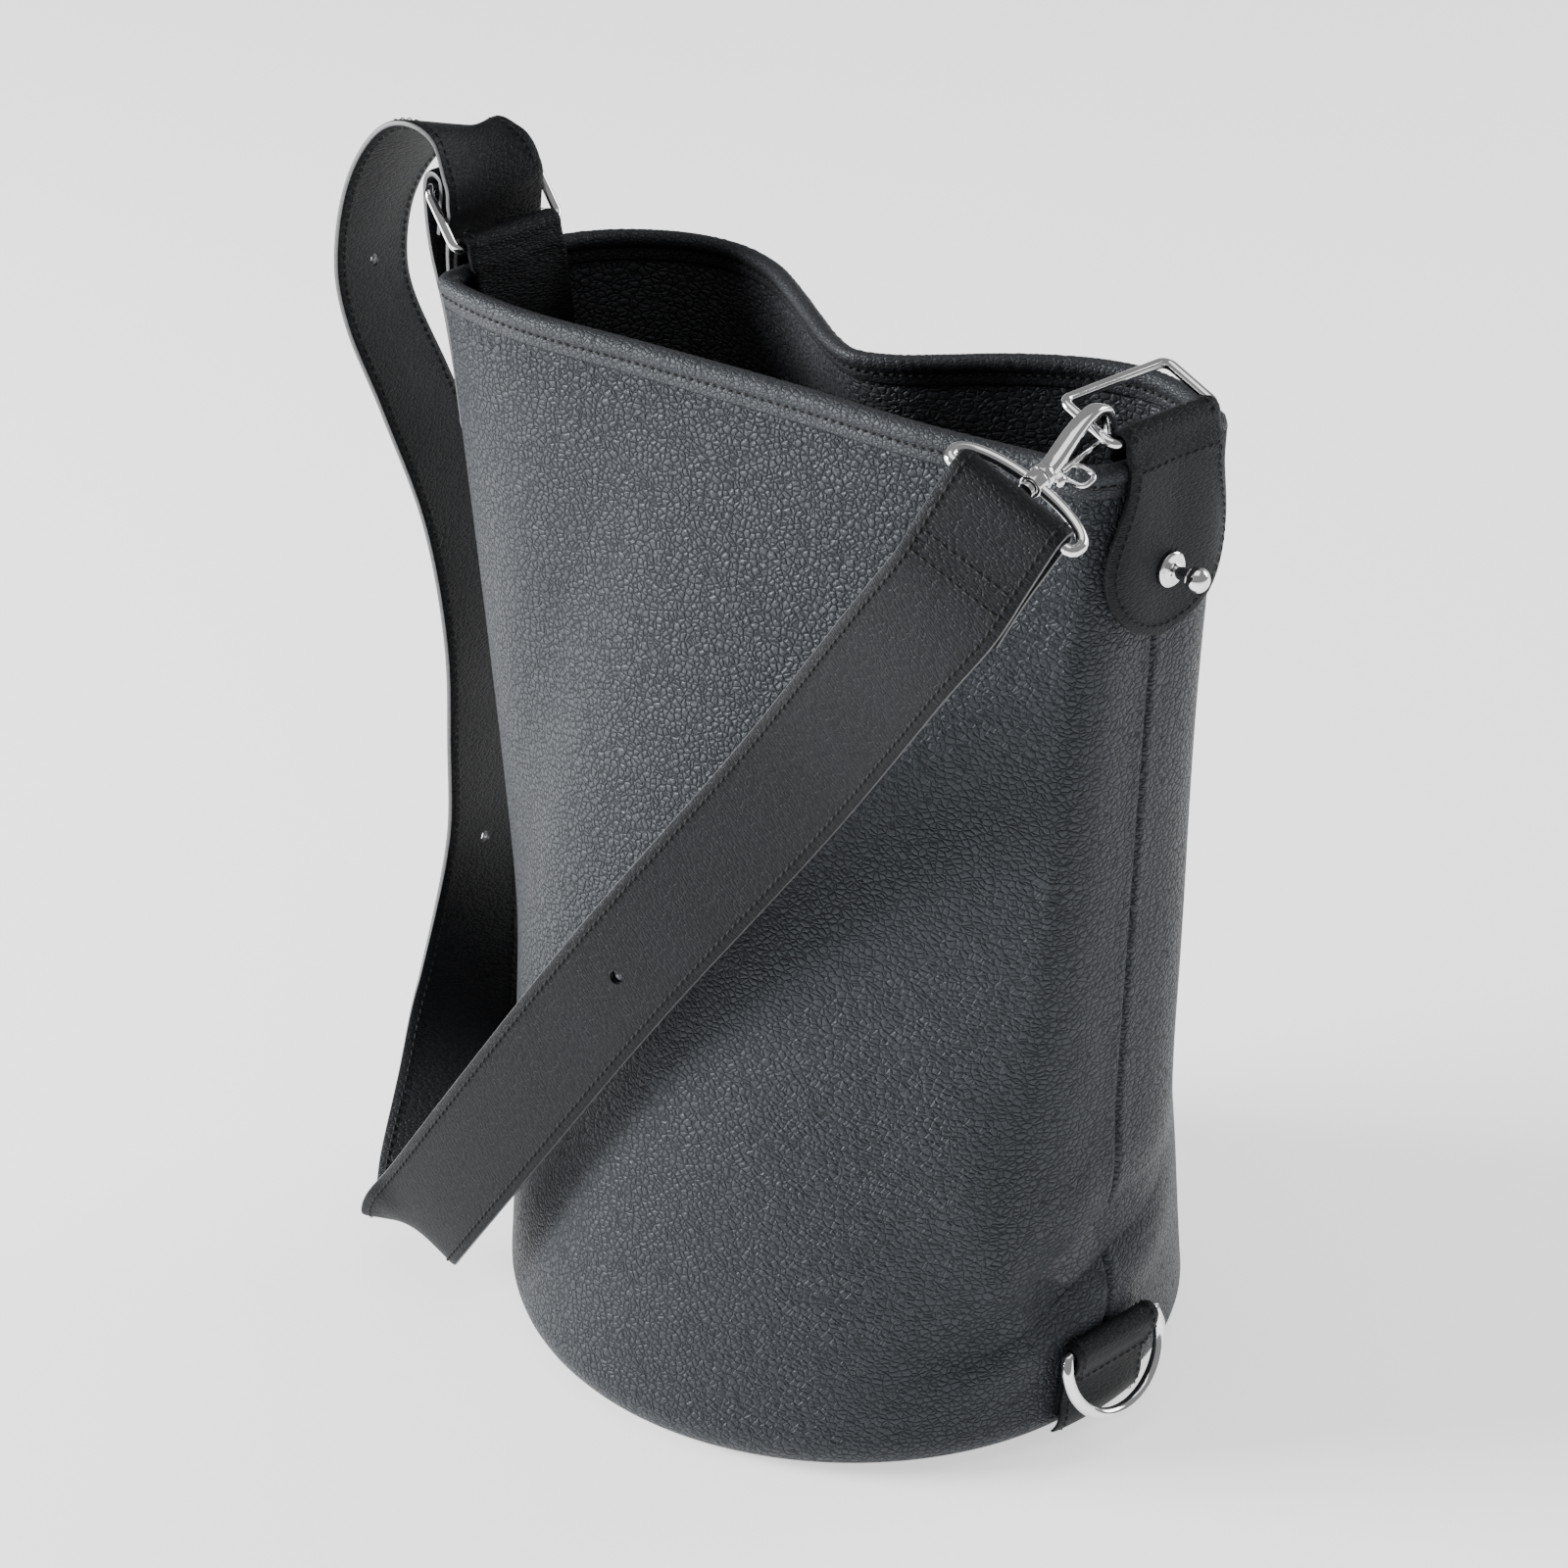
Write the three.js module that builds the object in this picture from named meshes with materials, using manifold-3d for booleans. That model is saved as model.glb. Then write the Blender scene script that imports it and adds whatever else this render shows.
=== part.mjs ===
// Leather bucket bag with an adjustable shoulder strap. Millimetres, +Z up, +X to the hook side, -Y front.
import * as THREE from "three";
import Module from "manifold-3d";

const manifold = await Module();
manifold.setup();

// ---------- driving dimensions ----------
const RIM_Z = 352; // top of the rim binding
const BASE_RADIUS = 117; // outer radius of the round base
const BASE_FILLET = 14; // radius of the rounded lower edge
const BASE_TWIST = -0.16; // the seams run a little forwards to the foot, in radians
const SHELL = 1.4; // outer leather
const LINING = 0.9;
const GAP = 0.3; // room between touching pieces
const STRAP_WIDTH = 39;
const PLY = 1.15; // one ply of the strap
const TAB_WIDTH = 39;
const TAB_SKIN = 2;
const TONGUE_Z = 293; // lowest point of a tab's tongue
const STUD_Z = 314;
const TAB_RING_WIRE = 1.6; // wire radius of the rings in the tabs
const TAB_RING_HALF = 22.4; // half the ring's width, to the wire's centre
const TAB_RING_DEPTH = 22;
const STRAP_RING_WIRE = 1.9;
const STRAP_RING_DEPTH = 12;
const HOOK_REACH = 44; // strap ring's bar to the wire that the hook holds
const DRING_WIRE = 2.1;
const DRING_Z = 38;

// The mouth seen from above, anticlockwise from the right seam. The left seam is MOUTH[LEFT_SEAM].
const MOUTH = [
  [125, -16], [128.4, 4], [125, 13.5], [115, 21], [103, 27.5], [89, 31], [74, 29], [60, 23],
  [46, 14], [33, 3], [20, -7], [8, -10.5], [-4, -5], [-20, 7], [-38, 21], [-57, 34], [-75, 40],
  [-93, 39], [-109, 32], [-121, 22], [-129, 9], [-132, -11], [-135, -31], [-134, -40],
  [-126, -44], [-95, -49], [-45, -47.5], [10, -46.5], [60, -47.5], [98, -44.5], [115, -43.5],
  [121.6, -36],
];
const LEFT_SEAM = 21;

// ---------- materials ----------
const grained = new THREE.MeshStandardMaterial({ color: 0x2b2d31, roughness: 0.55 });
const smooth = new THREE.MeshStandardMaterial({ color: 0x1d1e21, roughness: 0.5 });
const board = new THREE.MeshStandardMaterial({ color: 0x5d5348, roughness: 0.9 });
const silver = new THREE.MeshStandardMaterial({ color: 0xd8dade, roughness: 0.12, metalness: 1 });

// ---------- small helpers ----------
const vec = (x, y, z) => new THREE.Vector3(x, y, z);
const range = (n) => Array.from({ length: n }, (_, i) => i);
const mix = THREE.MathUtils.lerp;

function geometryFrom(points, faces) {
  const geometry = new THREE.BufferGeometry().setFromPoints(points);
  let volume = 0;
  for (const [a, b, c] of faces) volume += points[a].dot(points[b].clone().cross(points[c]));
  geometry.setIndex(faces.flatMap(([a, b, c]) => (volume > 0 ? [a, b, c] : [a, c, b])));
  return geometry;
}

// A closed solid between two grids of points of the same size.
function sheet(outer, inner) {
  const rows = outer.length;
  const columns = outer[0].length;
  const points = [...outer.flat(), ...inner.flat()];
  const at = (i, j, side) => side * rows * columns + i * columns + j;
  const faces = [];
  const quad = (a, b, c, d) => faces.push([a, b, c], [a, c, d]);
  for (const i of range(rows - 1)) {
    for (const j of range(columns - 1)) {
      quad(at(i, j, 0), at(i + 1, j, 0), at(i + 1, j + 1, 0), at(i, j + 1, 0));
      quad(at(i, j, 1), at(i, j + 1, 1), at(i + 1, j + 1, 1), at(i + 1, j, 1));
    }
    const last = columns - 1;
    quad(at(i, 0, 0), at(i, 0, 1), at(i + 1, 0, 1), at(i + 1, 0, 0));
    quad(at(i, last, 0), at(i + 1, last, 0), at(i + 1, last, 1), at(i, last, 1));
  }
  for (const j of range(columns - 1)) {
    const last = rows - 1;
    quad(at(0, j, 0), at(0, j + 1, 0), at(0, j + 1, 1), at(0, j, 1));
    quad(at(last, j, 0), at(last, j, 1), at(last, j + 1, 1), at(last, j + 1, 0));
  }
  return geometryFrom(points, faces);
}

// A ring-shaped or capped solid through sections with the same number of points.
function loft(sections, ring) {
  const count = sections[0].length;
  const points = sections.flat();
  const faces = [];
  const spans = ring ? sections.length : sections.length - 1;
  for (const i of range(spans)) {
    const here = i * count;
    const next = ((i + 1) % sections.length) * count;
    for (const k of range(count)) {
      const l = (k + 1) % count;
      faces.push([here + k, here + l, next + l], [here + k, next + l, next + k]);
    }
  }
  if (!ring) {
    const end = (sections.length - 1) * count;
    for (const k of range(count - 2)) faces.push([0, k + 2, k + 1], [end, end + k + 1, end + k + 2]);
  }
  return geometryFrom(points, faces);
}

// A round tube along centre points, closed on itself or capped.
function tube(centres, radius, ring, sides = 10) {
  const sections = [];
  let side = null;
  centres.forEach((centre, i) => {
    const count = centres.length;
    const ahead = centres[ring ? (i + 1) % count : Math.min(i + 1, count - 1)];
    const behind = centres[ring ? (i + count - 1) % count : Math.max(i - 1, 0)];
    const along = ahead.clone().sub(behind).normalize();
    if (!side) side = Math.abs(along.z) < 0.9 ? vec(0, 0, 1) : vec(1, 0, 0);
    side = side.clone().addScaledVector(along, -side.dot(along)).normalize();
    const across = along.clone().cross(side);
    const size = typeof radius === "function" ? radius(i / (count - 1)) : radius;
    sections.push(
      range(sides).map((k) => {
        const angle = (2 * Math.PI * k) / sides;
        return centre
          .clone()
          .addScaledVector(side, size * Math.cos(angle))
          .addScaledVector(across, size * Math.sin(angle));
      }),
    );
  });
  return loft(sections, ring);
}

function turned(profile, origin, axis, segments = 20) {
  const points = profile.map(([radius, height]) => new THREE.Vector2(radius, height));
  const geometry = new THREE.LatheGeometry(points, segments);
  const turn = new THREE.Quaternion().setFromUnitVectors(vec(0, 1, 0), axis.clone().normalize());
  geometry.applyQuaternion(turn);
  geometry.translate(origin.x, origin.y, origin.z);
  return geometry;
}

function rod(radius, from, to, segments = 16) {
  const axis = to.clone().sub(from);
  return turned([[0, 0], [radius, 0], [radius, axis.length()], [0, axis.length()]], from, axis, segments);
}

function solid(geometry) {
  const plain = geometry.index ? geometry.toNonIndexed() : geometry;
  const position = plain.getAttribute("position");
  const keys = new Map();
  const corners = [];
  const triVerts = [];
  for (const i of range(position.count)) {
    const point = [position.getX(i), position.getY(i), position.getZ(i)];
    const key = point.map((value) => Math.round(value * 1e4)).join();
    if (!keys.has(key)) {
      keys.set(key, corners.length / 3);
      corners.push(...point);
    }
    triVerts.push(keys.get(key));
  }
  const kept = [];
  for (let i = 0; i < triVerts.length; i += 3) {
    const [a, b, c] = triVerts.slice(i, i + 3);
    if (a !== b && b !== c && c !== a) kept.push(a, b, c);
  }
  const mesh = { numProp: 3, vertProperties: new Float32Array(corners), triVerts: new Uint32Array(kept) };
  const made = new manifold.Manifold(new manifold.Mesh(mesh));
  if (made.volume() > 0) return made;
  for (let i = 0; i < kept.length; i += 3) [kept[i + 1], kept[i + 2]] = [kept[i + 2], kept[i + 1]];
  return new manifold.Manifold(new manifold.Mesh({ ...mesh, triVerts: new Uint32Array(kept) }));
}

function geometryOf(made) {
  const mesh = made.getMesh();
  const geometry = new THREE.BufferGeometry();
  geometry.setAttribute("position", new THREE.BufferAttribute(mesh.vertProperties, 3));
  geometry.setIndex(new THREE.BufferAttribute(mesh.triVerts, 1));
  return geometry;
}

const cut = (geometry, ...tools) =>
  geometryOf(tools.reduce((body, tool) => body.subtract(solid(tool)), solid(geometry)));
const join = (...pieces) => geometryOf(pieces.map(solid).reduce((body, piece) => body.add(piece)));

const bag = new THREE.Group();
function place(name, geometry, material) {
  const mesh = new THREE.Mesh(geometry, material);
  mesh.name = name;
  bag.add(mesh);
}

// ---------- the wall: from the round base to the flattened, pinched mouth ----------
const mouthCurve = new THREE.CatmullRomCurve3(MOUTH.map(([x, y]) => vec(x, y, 0)), true, "centripetal");
mouthCurve.arcLengthDivisions = MOUTH.length * 20;
const mouthLengths = mouthCurve.getLengths();
const leftSeamShare = mouthLengths[LEFT_SEAM * 20] / mouthLengths[mouthLengths.length - 1];

// u runs from 0 at the right seam through the back to 0.5 at the left seam, and on through the front.
function outline(u, z) {
  const turn = ((u % 1) + 1) % 1;
  const share = turn < 0.5 ? 2 * turn * leftSeamShare : leftSeamShare + (2 * turn - 1) * (1 - leftSeamShare);
  const mouth = mouthCurve.getPointAt(Math.min(share, 1));
  const angle = 2 * Math.PI * turn + BASE_TWIST;
  const base = vec(BASE_RADIUS * Math.cos(angle), BASE_RADIUS * Math.sin(angle), 0);
  return base.lerp(mouth, THREE.MathUtils.clamp(z / RIM_Z, 0, 1));
}

// A point on the wall at height z, moved outwards by out.
function wall(u, z, out) {
  const step = 0.002;
  const point = outline(u, z);
  const along = outline(u + step, z).sub(outline(u - step, z)).normalize();
  return vec(point.x + along.y * out, point.y - along.x * out, z);
}

// Rows of one skin, at a depth below the leather's outer face, from under the base up to top.
function skinRows(depth, top, from, to, columns) {
  const turns = range(columns + 1).map((i) => mix(from, to, i / columns));
  const arc = 5;
  const lower = range(arc).map((k) => (k / arc) * (Math.PI / 2));
  const rows = lower.map((angle) => [
    BASE_FILLET - (BASE_FILLET - depth) * Math.cos(angle),
    BASE_FILLET - (BASE_FILLET - depth) * Math.sin(angle),
  ]);
  const straight = 9;
  for (const k of range(straight + 1)) rows.push([mix(BASE_FILLET, top, k / straight), depth]);
  return rows.map(([z, inset]) => turns.map((u) => wall(u, z, -inset)));
}

const PANEL_COLUMNS = 28;
const SEAM = 0.0006; // half the slit between two panels, as a share of the way round
function skin(depth, thickness, top, from, to, columns) {
  return sheet(
    skinRows(depth, top, from + SEAM, to - SEAM, columns),
    skinRows(depth + thickness, top, from + SEAM, to - SEAM, columns),
  );
}

const liningDepth = SHELL + GAP;
const skinTop = RIM_Z - 3.4;

// ---------- tabs, rings and studs at the two ends of the mouth ----------
function side(u) {
  const point = wall(u, RIM_Z, 0);
  const out = wall(u, RIM_Z, 1).sub(point);
  return { u, point, out, along: vec(-out.y, out.x, 0), at: (o, z) => vec(point.x + out.x * o, point.y + out.y * o, z) };
}
const right = side(0);
const left = side(0.5);

const LOOP_Z = 358;
const LOOP_OUT = -1.3; // the loop's centre, from the wall's outer face
const LOOP_RADIUS = 3.2; // to the middle of the leather
const TONGUE_OUT = 3;
const INNER_OUT = -6;
const FLARE = 25; // the tongue's greatest half width, and the radius of its end

function tongueHalf(z) {
  const centre = TONGUE_Z + FLARE;
  if (z < centre) return Math.max(5, Math.sqrt(Math.max(0, FLARE ** 2 - (centre - z) ** 2)));
  return mix(FLARE, TAB_WIDTH / 2, THREE.MathUtils.smoothstep(z, centre, RIM_Z - 6));
}

// The tab in section: up the outside, round the ring's bar and down the inside.
function tabPath() {
  const path = [];
  for (const z of [293, 294.5, 297, 301, 307, 314, 322, 332, 342, 350]) path.push([TONGUE_OUT, z, 1]);
  for (const k of range(9)) {
    const angle = Math.PI * (k / 8);
    path.push([LOOP_OUT + LOOP_RADIUS * Math.cos(angle), LOOP_Z + LOOP_RADIUS * Math.sin(angle), 1]);
  }
  for (const z of [351, 340, 328, 318]) path.push([INNER_OUT, z, 0]);
  return path;
}

function tab(end) {
  const path = tabPath();
  const columns = 8;
  const grids = [TAB_SKIN / 2, -TAB_SKIN / 2].map((offset) =>
    path.map(([o, z, outside], i) => {
      const [o0, z0] = path[Math.max(i - 1, 0)];
      const [o1, z1] = path[Math.min(i + 1, path.length - 1)];
      const length = Math.hypot(o1 - o0, z1 - z0);
      const half = outside ? tongueHalf(z) : TAB_WIDTH / 2;
      const girth = mix(735, 640, z / RIM_Z);
      return range(columns + 1).map((j) => {
        const w = mix(-half, half, j / columns);
        const out = o + (offset * (z1 - z0)) / length;
        const height = z - (offset * (o1 - o0)) / length;
        if (z > RIM_Z) return end.at(out, height).addScaledVector(end.along, w);
        const place = wall(end.u + w / girth, height, out);
        return vec(place.x, place.y, height);
      });
    }),
  );
  return sheet(grids[0], grids[1]);
}

// A rectangular ring with round corners: the bar in the loop, then depth mm in the direction given.
function rectangle(centre, along, deep, half, depth, wire) {
  const corner = 3.2;
  const points = [];
  const corners = [
    [half - corner, corner, -90],
    [half - corner, depth - corner, 0],
    [-half + corner, depth - corner, 90],
    [-half + corner, corner, 180],
  ];
  for (const [w, d, start] of corners) {
    for (const k of range(5)) {
      const angle = THREE.MathUtils.degToRad(start + 22.5 * k);
      points.push(
        centre
          .clone()
          .addScaledVector(along, w + corner * Math.cos(angle))
          .addScaledVector(deep, d + corner * Math.sin(angle)),
      );
    }
  }
  return tube(points, wire, true);
}

const rightDeep = right.out.clone().multiplyScalar(-0.95).setZ(0.36).normalize();
const leftDeep = left.out.clone().multiplyScalar(0.6).setZ(0.8).normalize();
const rightBar = right.at(LOOP_OUT, LOOP_Z);
const leftBar = left.at(LOOP_OUT, LOOP_Z);

const STUD_FACE = TONGUE_OUT + TAB_SKIN / 2 + 2 * GAP;
function studParts(end) {
  const foot = wall(end.u, STUD_Z, STUD_FACE);
  const out = wall(end.u, STUD_Z, STUD_FACE + 1).sub(foot);
  const stud = turned(
    [
      [0, 0], [5.6, 0], [5.6, 0.8], [4.9, 1.3], [2.4, 1.5], [2.1, 2.5], [2.1, 7.7], [2.8, 7.9],
      [2.8, 8.4], [2.5, 8.7], [3.4, 9.6], [3.8, 10.9], [3.5, 12.4], [2.5, 13.6], [1.2, 14.1], [0, 14.2],
    ],
    foot,
    out,
  );
  const head = out.clone().multiplyScalar(-1);
  const start = foot.clone().addScaledVector(out, -GAP);
  const washer = STUD_FACE - INNER_OUT + TAB_SKIN / 2; // from the stud's foot to the inner tongue's face
  const screw = turned(
    [[0, 0], [1.4, 0], [1.4, washer], [4.4, washer], [4.4, washer + 1], [3.6, washer + 1.8], [0, washer + 1.9]],
    start,
    head,
    20,
  );
  const bore = rod(1.8, foot.clone().addScaledVector(out, 2), foot.clone().addScaledVector(head, washer + 4));
  return { stud, screw, bore };
}
const rightStud = studParts(right);
const leftStud = studParts(left);

// ---------- strap ring and swivel hook ----------
const pull = vec(0.04, 0.965, 0.215).normalize();
const barCentre = vec(113.5, -35.2, 361.4).addScaledVector(pull, -HOOK_REACH);
const barAlong = vec(0.9, 0.04, -0.43);
barAlong.addScaledVector(pull, -barAlong.dot(pull)).normalize();
const ringAt = (p, w) => barCentre.clone().addScaledVector(pull, p).addScaledVector(barAlong, w);
const HOOK_ROLL = THREE.MathUtils.degToRad(-30); // the hook's turn on its swivel
const hookAlong = barAlong.clone().applyAxisAngle(pull, HOOK_ROLL);
const hookUp = hookAlong.clone().cross(pull).normalize();
const hookAt = (p, q, w = 0) =>
  barCentre.clone().addScaledVector(pull, p).addScaledVector(hookUp, q).addScaledVector(hookAlong, w);

function strapRing() {
  const half = STRAP_WIDTH / 2 + 3.6;
  const centres = [];
  for (const k of range(5)) centres.push(ringAt(0, mix(-half + 2, half - 2, k / 4)));
  centres.push(ringAt(0.9, half - 0.5));
  const arc = 14;
  for (const k of range(arc + 1)) {
    const angle = (Math.PI * k) / arc;
    centres.push(ringAt(3.4 + (STRAP_RING_DEPTH - 3.4) * Math.sin(angle), half * Math.cos(angle)));
  }
  centres.push(ringAt(0.9, -half + 0.5));
  const ring = tube(centres, STRAP_RING_WIRE, true);
  const boss = rod(3.7, ringAt(STRAP_RING_DEPTH - 2.4, 0), ringAt(STRAP_RING_DEPTH + 2.4, 0), 20);
  const bore = rod(1.5, ringAt(0, 0), ringAt(STRAP_RING_DEPTH + 6, 0));
  const barSide = rod(STRAP_RING_WIRE, ringAt(0, -half + 2), ringAt(0, half - 2), 10);
  return geometryOf(solid(ring).add(solid(boss)).subtract(solid(bore)).add(solid(barSide)));
}

const PIVOT = [20.5, -3.4]; // the gate's pin, along and across the hook
function hookBody() {
  const post = turned(
    [
      [0, 0], [2.5, 0], [2.5, 1.9], [1.2, 1.9], [1.2, 7.2], [3.3, 7.2], [3.3, 9], [2.7, 11], [0, 11],
    ],
    hookAt(STRAP_RING_DEPTH - 4.6, 0),
    pull,
  );
  const route = [[16, 0], [21, 1], [27, 3], [33, 5], [39, 6.2], [44, 6], [47.4, 3.6], [48.4, 0.6], [48.2, -2.2], [47.7, -4.2]];
  const curve = new THREE.CatmullRomCurve3(route.map(([p, q]) => hookAt(p, q)));
  const shank = tube(curve.getPoints(26), (t) => mix(2.6, 1.7, t), false, 12);
  const lugs = [-1, 1].map((hand) => rod(1.9, hookAt(...PIVOT, hand * 1.5), hookAt(...PIVOT, hand * 2.7), 14));
  const webs = [-1, 1].map((hand) => rod(1.5, hookAt(...PIVOT, hand * 2.1), hookAt(20.5, 0, hand * 1.5), 10));
  const body = join(post, shank, ...lugs, ...webs);
  const slot = rod(2.6, hookAt(...PIVOT, -1.5), hookAt(...PIVOT, 1.5), 16);
  return cut(body, slot, rod(0.9, hookAt(...PIVOT, -5), hookAt(...PIVOT, 5), 12));
}

function hookGate() {
  const knuckle = rod(1.9, hookAt(...PIVOT, -1.2), hookAt(...PIVOT, 1.2), 16);
  const bar = tube([hookAt(PIVOT[0], -3.6), hookAt(34, -4.2), hookAt(45.3, -4.9)], 0.9, false, 10);
  const trigger = [];
  for (const k of range(14)) {
    const angle = (2 * Math.PI * k) / 14;
    trigger.push(hookAt(26.5 + 3.6 * Math.cos(angle), -5 - 1.3 * Math.sin(angle), 4 + 4 * Math.sin(angle)));
  }
  return cut(join(knuckle, bar, tube(trigger, 0.8, true, 8)), rod(0.9, hookAt(...PIVOT, -3), hookAt(...PIVOT, 3), 12));
}

// ---------- strap: centre points, the direction across the strap, and true at a stud hole ----------
const onLeft = (out, z) => {
  const point = wall(left.u, Math.min(z, RIM_Z), out);
  return [point.x, point.y, z];
};
const leftAcross = [-left.along.x, -left.along.y, 0];
const strapDown = vec(-0.4, -0.42, -0.85);
strapDown.addScaledVector(barAlong, -strapDown.dot(barAlong)).normalize();
const strapOut = strapDown.clone().cross(barAlong).normalize();
const nearBar = (down, out) =>
  barCentre.clone().addScaledVector(strapDown, down).addScaledVector(strapOut, out).toArray();
const BEND = 4.3;
const barAcross = barAlong.toArray();

const STRAP = [
  // the end turned back behind the strap, and the fold round the ring's bar
  [nearBar(36, -4.8), barAcross],
  [nearBar(27, -3.2), barAcross],
  [nearBar(17, -2.4), barAcross],
  [nearBar(8, -3.5), barAcross],
  [nearBar(0, -BEND), barAcross],
  [nearBar(-3.04, -3.04), barAcross],
  [nearBar(-BEND, 0), barAcross],
  [nearBar(-3.04, 3.04), barAcross],
  [nearBar(0, BEND), barAcross],
  [nearBar(10, 3.4), barAcross],
  [nearBar(20, 1.9), barAcross],
  [nearBar(31, 0.3), barAcross],
  // across the front of the bag
  [[85, -92.5, 304], [0.89, 0, -0.44]],
  [[40, -87, 242], [0.82, 0.08, -0.56]],
  [[-17, -100, 162], [0.86, 0.06, -0.5], true],
  [[-71, -106, 83], [0.9, 0.02, -0.43]],
  [[-101, -103.5, 41], [0.95, -0.04, -0.3]],
  // the turn at the bottom and the back leg, which twists by a quarter turn
  [[-111, -99, 29], [0.99, -0.08, -0.1]],
  [[-116.5, -92, 24.5], [1, -0.06, 0]],
  [[-120.5, -83, 26], [0.99, 0.06, 0.02]],
  [[-126, -72, 34], [0.92, 0.38, 0]],
  [[-135, -49, 56], [0.7, 0.71, 0]],
  [[-144, -30.5, 80], [0.34, 0.94, 0]],
  [[-151, -12.5, 130], [-0.05, 1, 0], true],
  [[-152.5, -8.7, 173], [-0.1, 0.99, 0]],
  [[-153, -6.7, 210], [-0.06, 0.99, 0]],
  [[-159, -8.5, 255], [-0.05, 0.99, 0]],
  [[-170, -16, 295], [-0.12, 0.98, 0]],
  [[-180, -21, 325], [-0.16, 0.98, 0]],
  [[-182, -21.5, 341], [-0.12, 0.98, -0.05], true],
  [[-178.5, -21, 361], [-0.08, 0.98, -0.12]],
  [[-168, -20.5, 380], [0, 0.96, -0.22]],
  [[-154, -20, 391.5], [0.08, 0.94, -0.3]],
  [[-142.5, -19, 392], [0.12, 0.94, -0.28]],
  [[-136, -16.5, 384], [0.14, 0.96, -0.2]],
  [[-134.6, -13, 374], leftAcross],
  // through the ring, down the tongue, over the stud, and back up on the outside
  [onLeft(5.2, 364), leftAcross],
  [onLeft(6.2, 354), leftAcross],
  [onLeft(7.4, 338), leftAcross],
  [onLeft(7.5, 314), leftAcross],
  [onLeft(7.4, 298), leftAcross],
  [onLeft(7.5, 292.6), leftAcross],
  [onLeft(9, 291), leftAcross],
  [onLeft(10.5, 292.6), leftAcross],
  [onLeft(10.6, 298), leftAcross],
  [onLeft(10.5, 314), leftAcross],
  [onLeft(11.6, 334), leftAcross],
  [onLeft(14.6, 354), leftAcross],
  [onLeft(16.2, 366), leftAcross],
  // over the ring's outer bar and down into the ring
  [onLeft(16.1, 375.6), leftAcross],
  [onLeft(14.9, 378.6), leftAcross],
  [onLeft(11.9, 379.9), leftAcross],
  [onLeft(8.9, 378.6), leftAcross],
  [onLeft(8.2, 375), leftAcross],
  [onLeft(9.2, 368), leftAcross],
  [onLeft(10.3, 360), leftAcross],
];

const HOLE_RADIUS = 2.3;
const SPAN_STEPS = 3; // sections of the strap for each span of the list
function strapFrames() {
  const centres = new THREE.CatmullRomCurve3(STRAP.map(([centre]) => vec(...centre)), false, "centripetal");
  const acrosses = new THREE.CatmullRomCurve3(STRAP.map(([, across]) => vec(...across)));
  const count = (STRAP.length - 1) * SPAN_STEPS;
  return range(count + 1).map((i) => {
    const t = i / count;
    const along = centres.getTangent(t);
    const across = acrosses.getPoint(t);
    across.addScaledVector(along, -across.dot(along)).normalize();
    return { centre: centres.getPoint(t), across, normal: along.clone().cross(across), along };
  });
}
const frames = strapFrames();

function ply(inner, outer) {
  const corner = (frame, w, n) => frame.centre.clone().addScaledVector(frame.across, w).addScaledVector(frame.normal, n);
  const half = STRAP_WIDTH / 2;
  return loft(
    frames.map((f) => [corner(f, -half, inner), corner(f, half, inner), corner(f, half, outer), corner(f, -half, outer)]),
    false,
  );
}

function strapHoles() {
  const studFoot = wall(left.u, STUD_Z, STUD_FACE);
  const studOut = wall(left.u, STUD_Z, STUD_FACE + 1).sub(studFoot);
  const tools = [rod(2.9, studFoot, studFoot.clone().addScaledVector(studOut, 12))];
  STRAP.forEach(([, , hole], i) => {
    if (!hole) return;
    const { centre, normal } = frames[i * SPAN_STEPS];
    const reach = normal.clone().multiplyScalar(3);
    tools.push(rod(HOLE_RADIUS, centre.clone().sub(reach), centre.clone().add(reach), 10));
  });
  return tools;
}
const holes = strapHoles();

// ---------- D-ring tab at the foot of the right seam ----------
const BASE_TURN = 0;
const foot = {
  point: wall(BASE_TURN, DRING_Z, 0),
  out: wall(BASE_TURN, DRING_Z, 1).sub(wall(BASE_TURN, DRING_Z, 0)),
};
const footAlong = vec(-foot.out.y, foot.out.x, 0);
const LOOP_FOOT = 26; // the base tab is straight across above this height
const ringOut = 4.7; // the D-ring's bar, from the wall
const dringBar = foot.point.clone().addScaledVector(foot.out, ringOut);

function baseTab() {
  const path = [[3.4, 4.5], [3.4, 12], [3.4, 20], [4.6, 28], [7.4, 34.5]];
  for (const k of range(9)) {
    const angle = mix(0, Math.PI, k / 8);
    path.push([ringOut + 3.3 * Math.cos(angle), DRING_Z + 3.3 * Math.sin(angle)]);
  }
  path.push([1.2, 30], [1.2, 20], [1.2, 12]);
  const columns = 6;
  const skin = 1.6;
  const inset = (z) => (z < BASE_FILLET ? BASE_FILLET - Math.sqrt(BASE_FILLET ** 2 - (BASE_FILLET - z) ** 2) : 0);
  const grids = [skin / 2, -skin / 2].map((offset) =>
    path.map(([o, z], i) => {
      const [o0, z0] = path[Math.max(i - 1, 0)];
      const [o1, z1] = path[Math.min(i + 1, path.length - 1)];
      const length = Math.hypot(o1 - o0, z1 - z0);
      return range(columns + 1).map((j) => {
        const w = mix(-TAB_WIDTH / 2, TAB_WIDTH / 2, j / columns);
        const height = z - (offset * (o1 - o0)) / length;
        const out = o + (offset * (z1 - z0)) / length - inset(z);
        if (z > LOOP_FOOT) {
          const straight = foot.point.clone().addScaledVector(foot.out, out).addScaledVector(footAlong, w);
          return straight.setZ(height);
        }
        const place = wall(BASE_TURN + w / 735, height, out);
        return vec(place.x, place.y, height);
      });
    }),
  );
  return sheet(grids[0], grids[1]);
}

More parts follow.
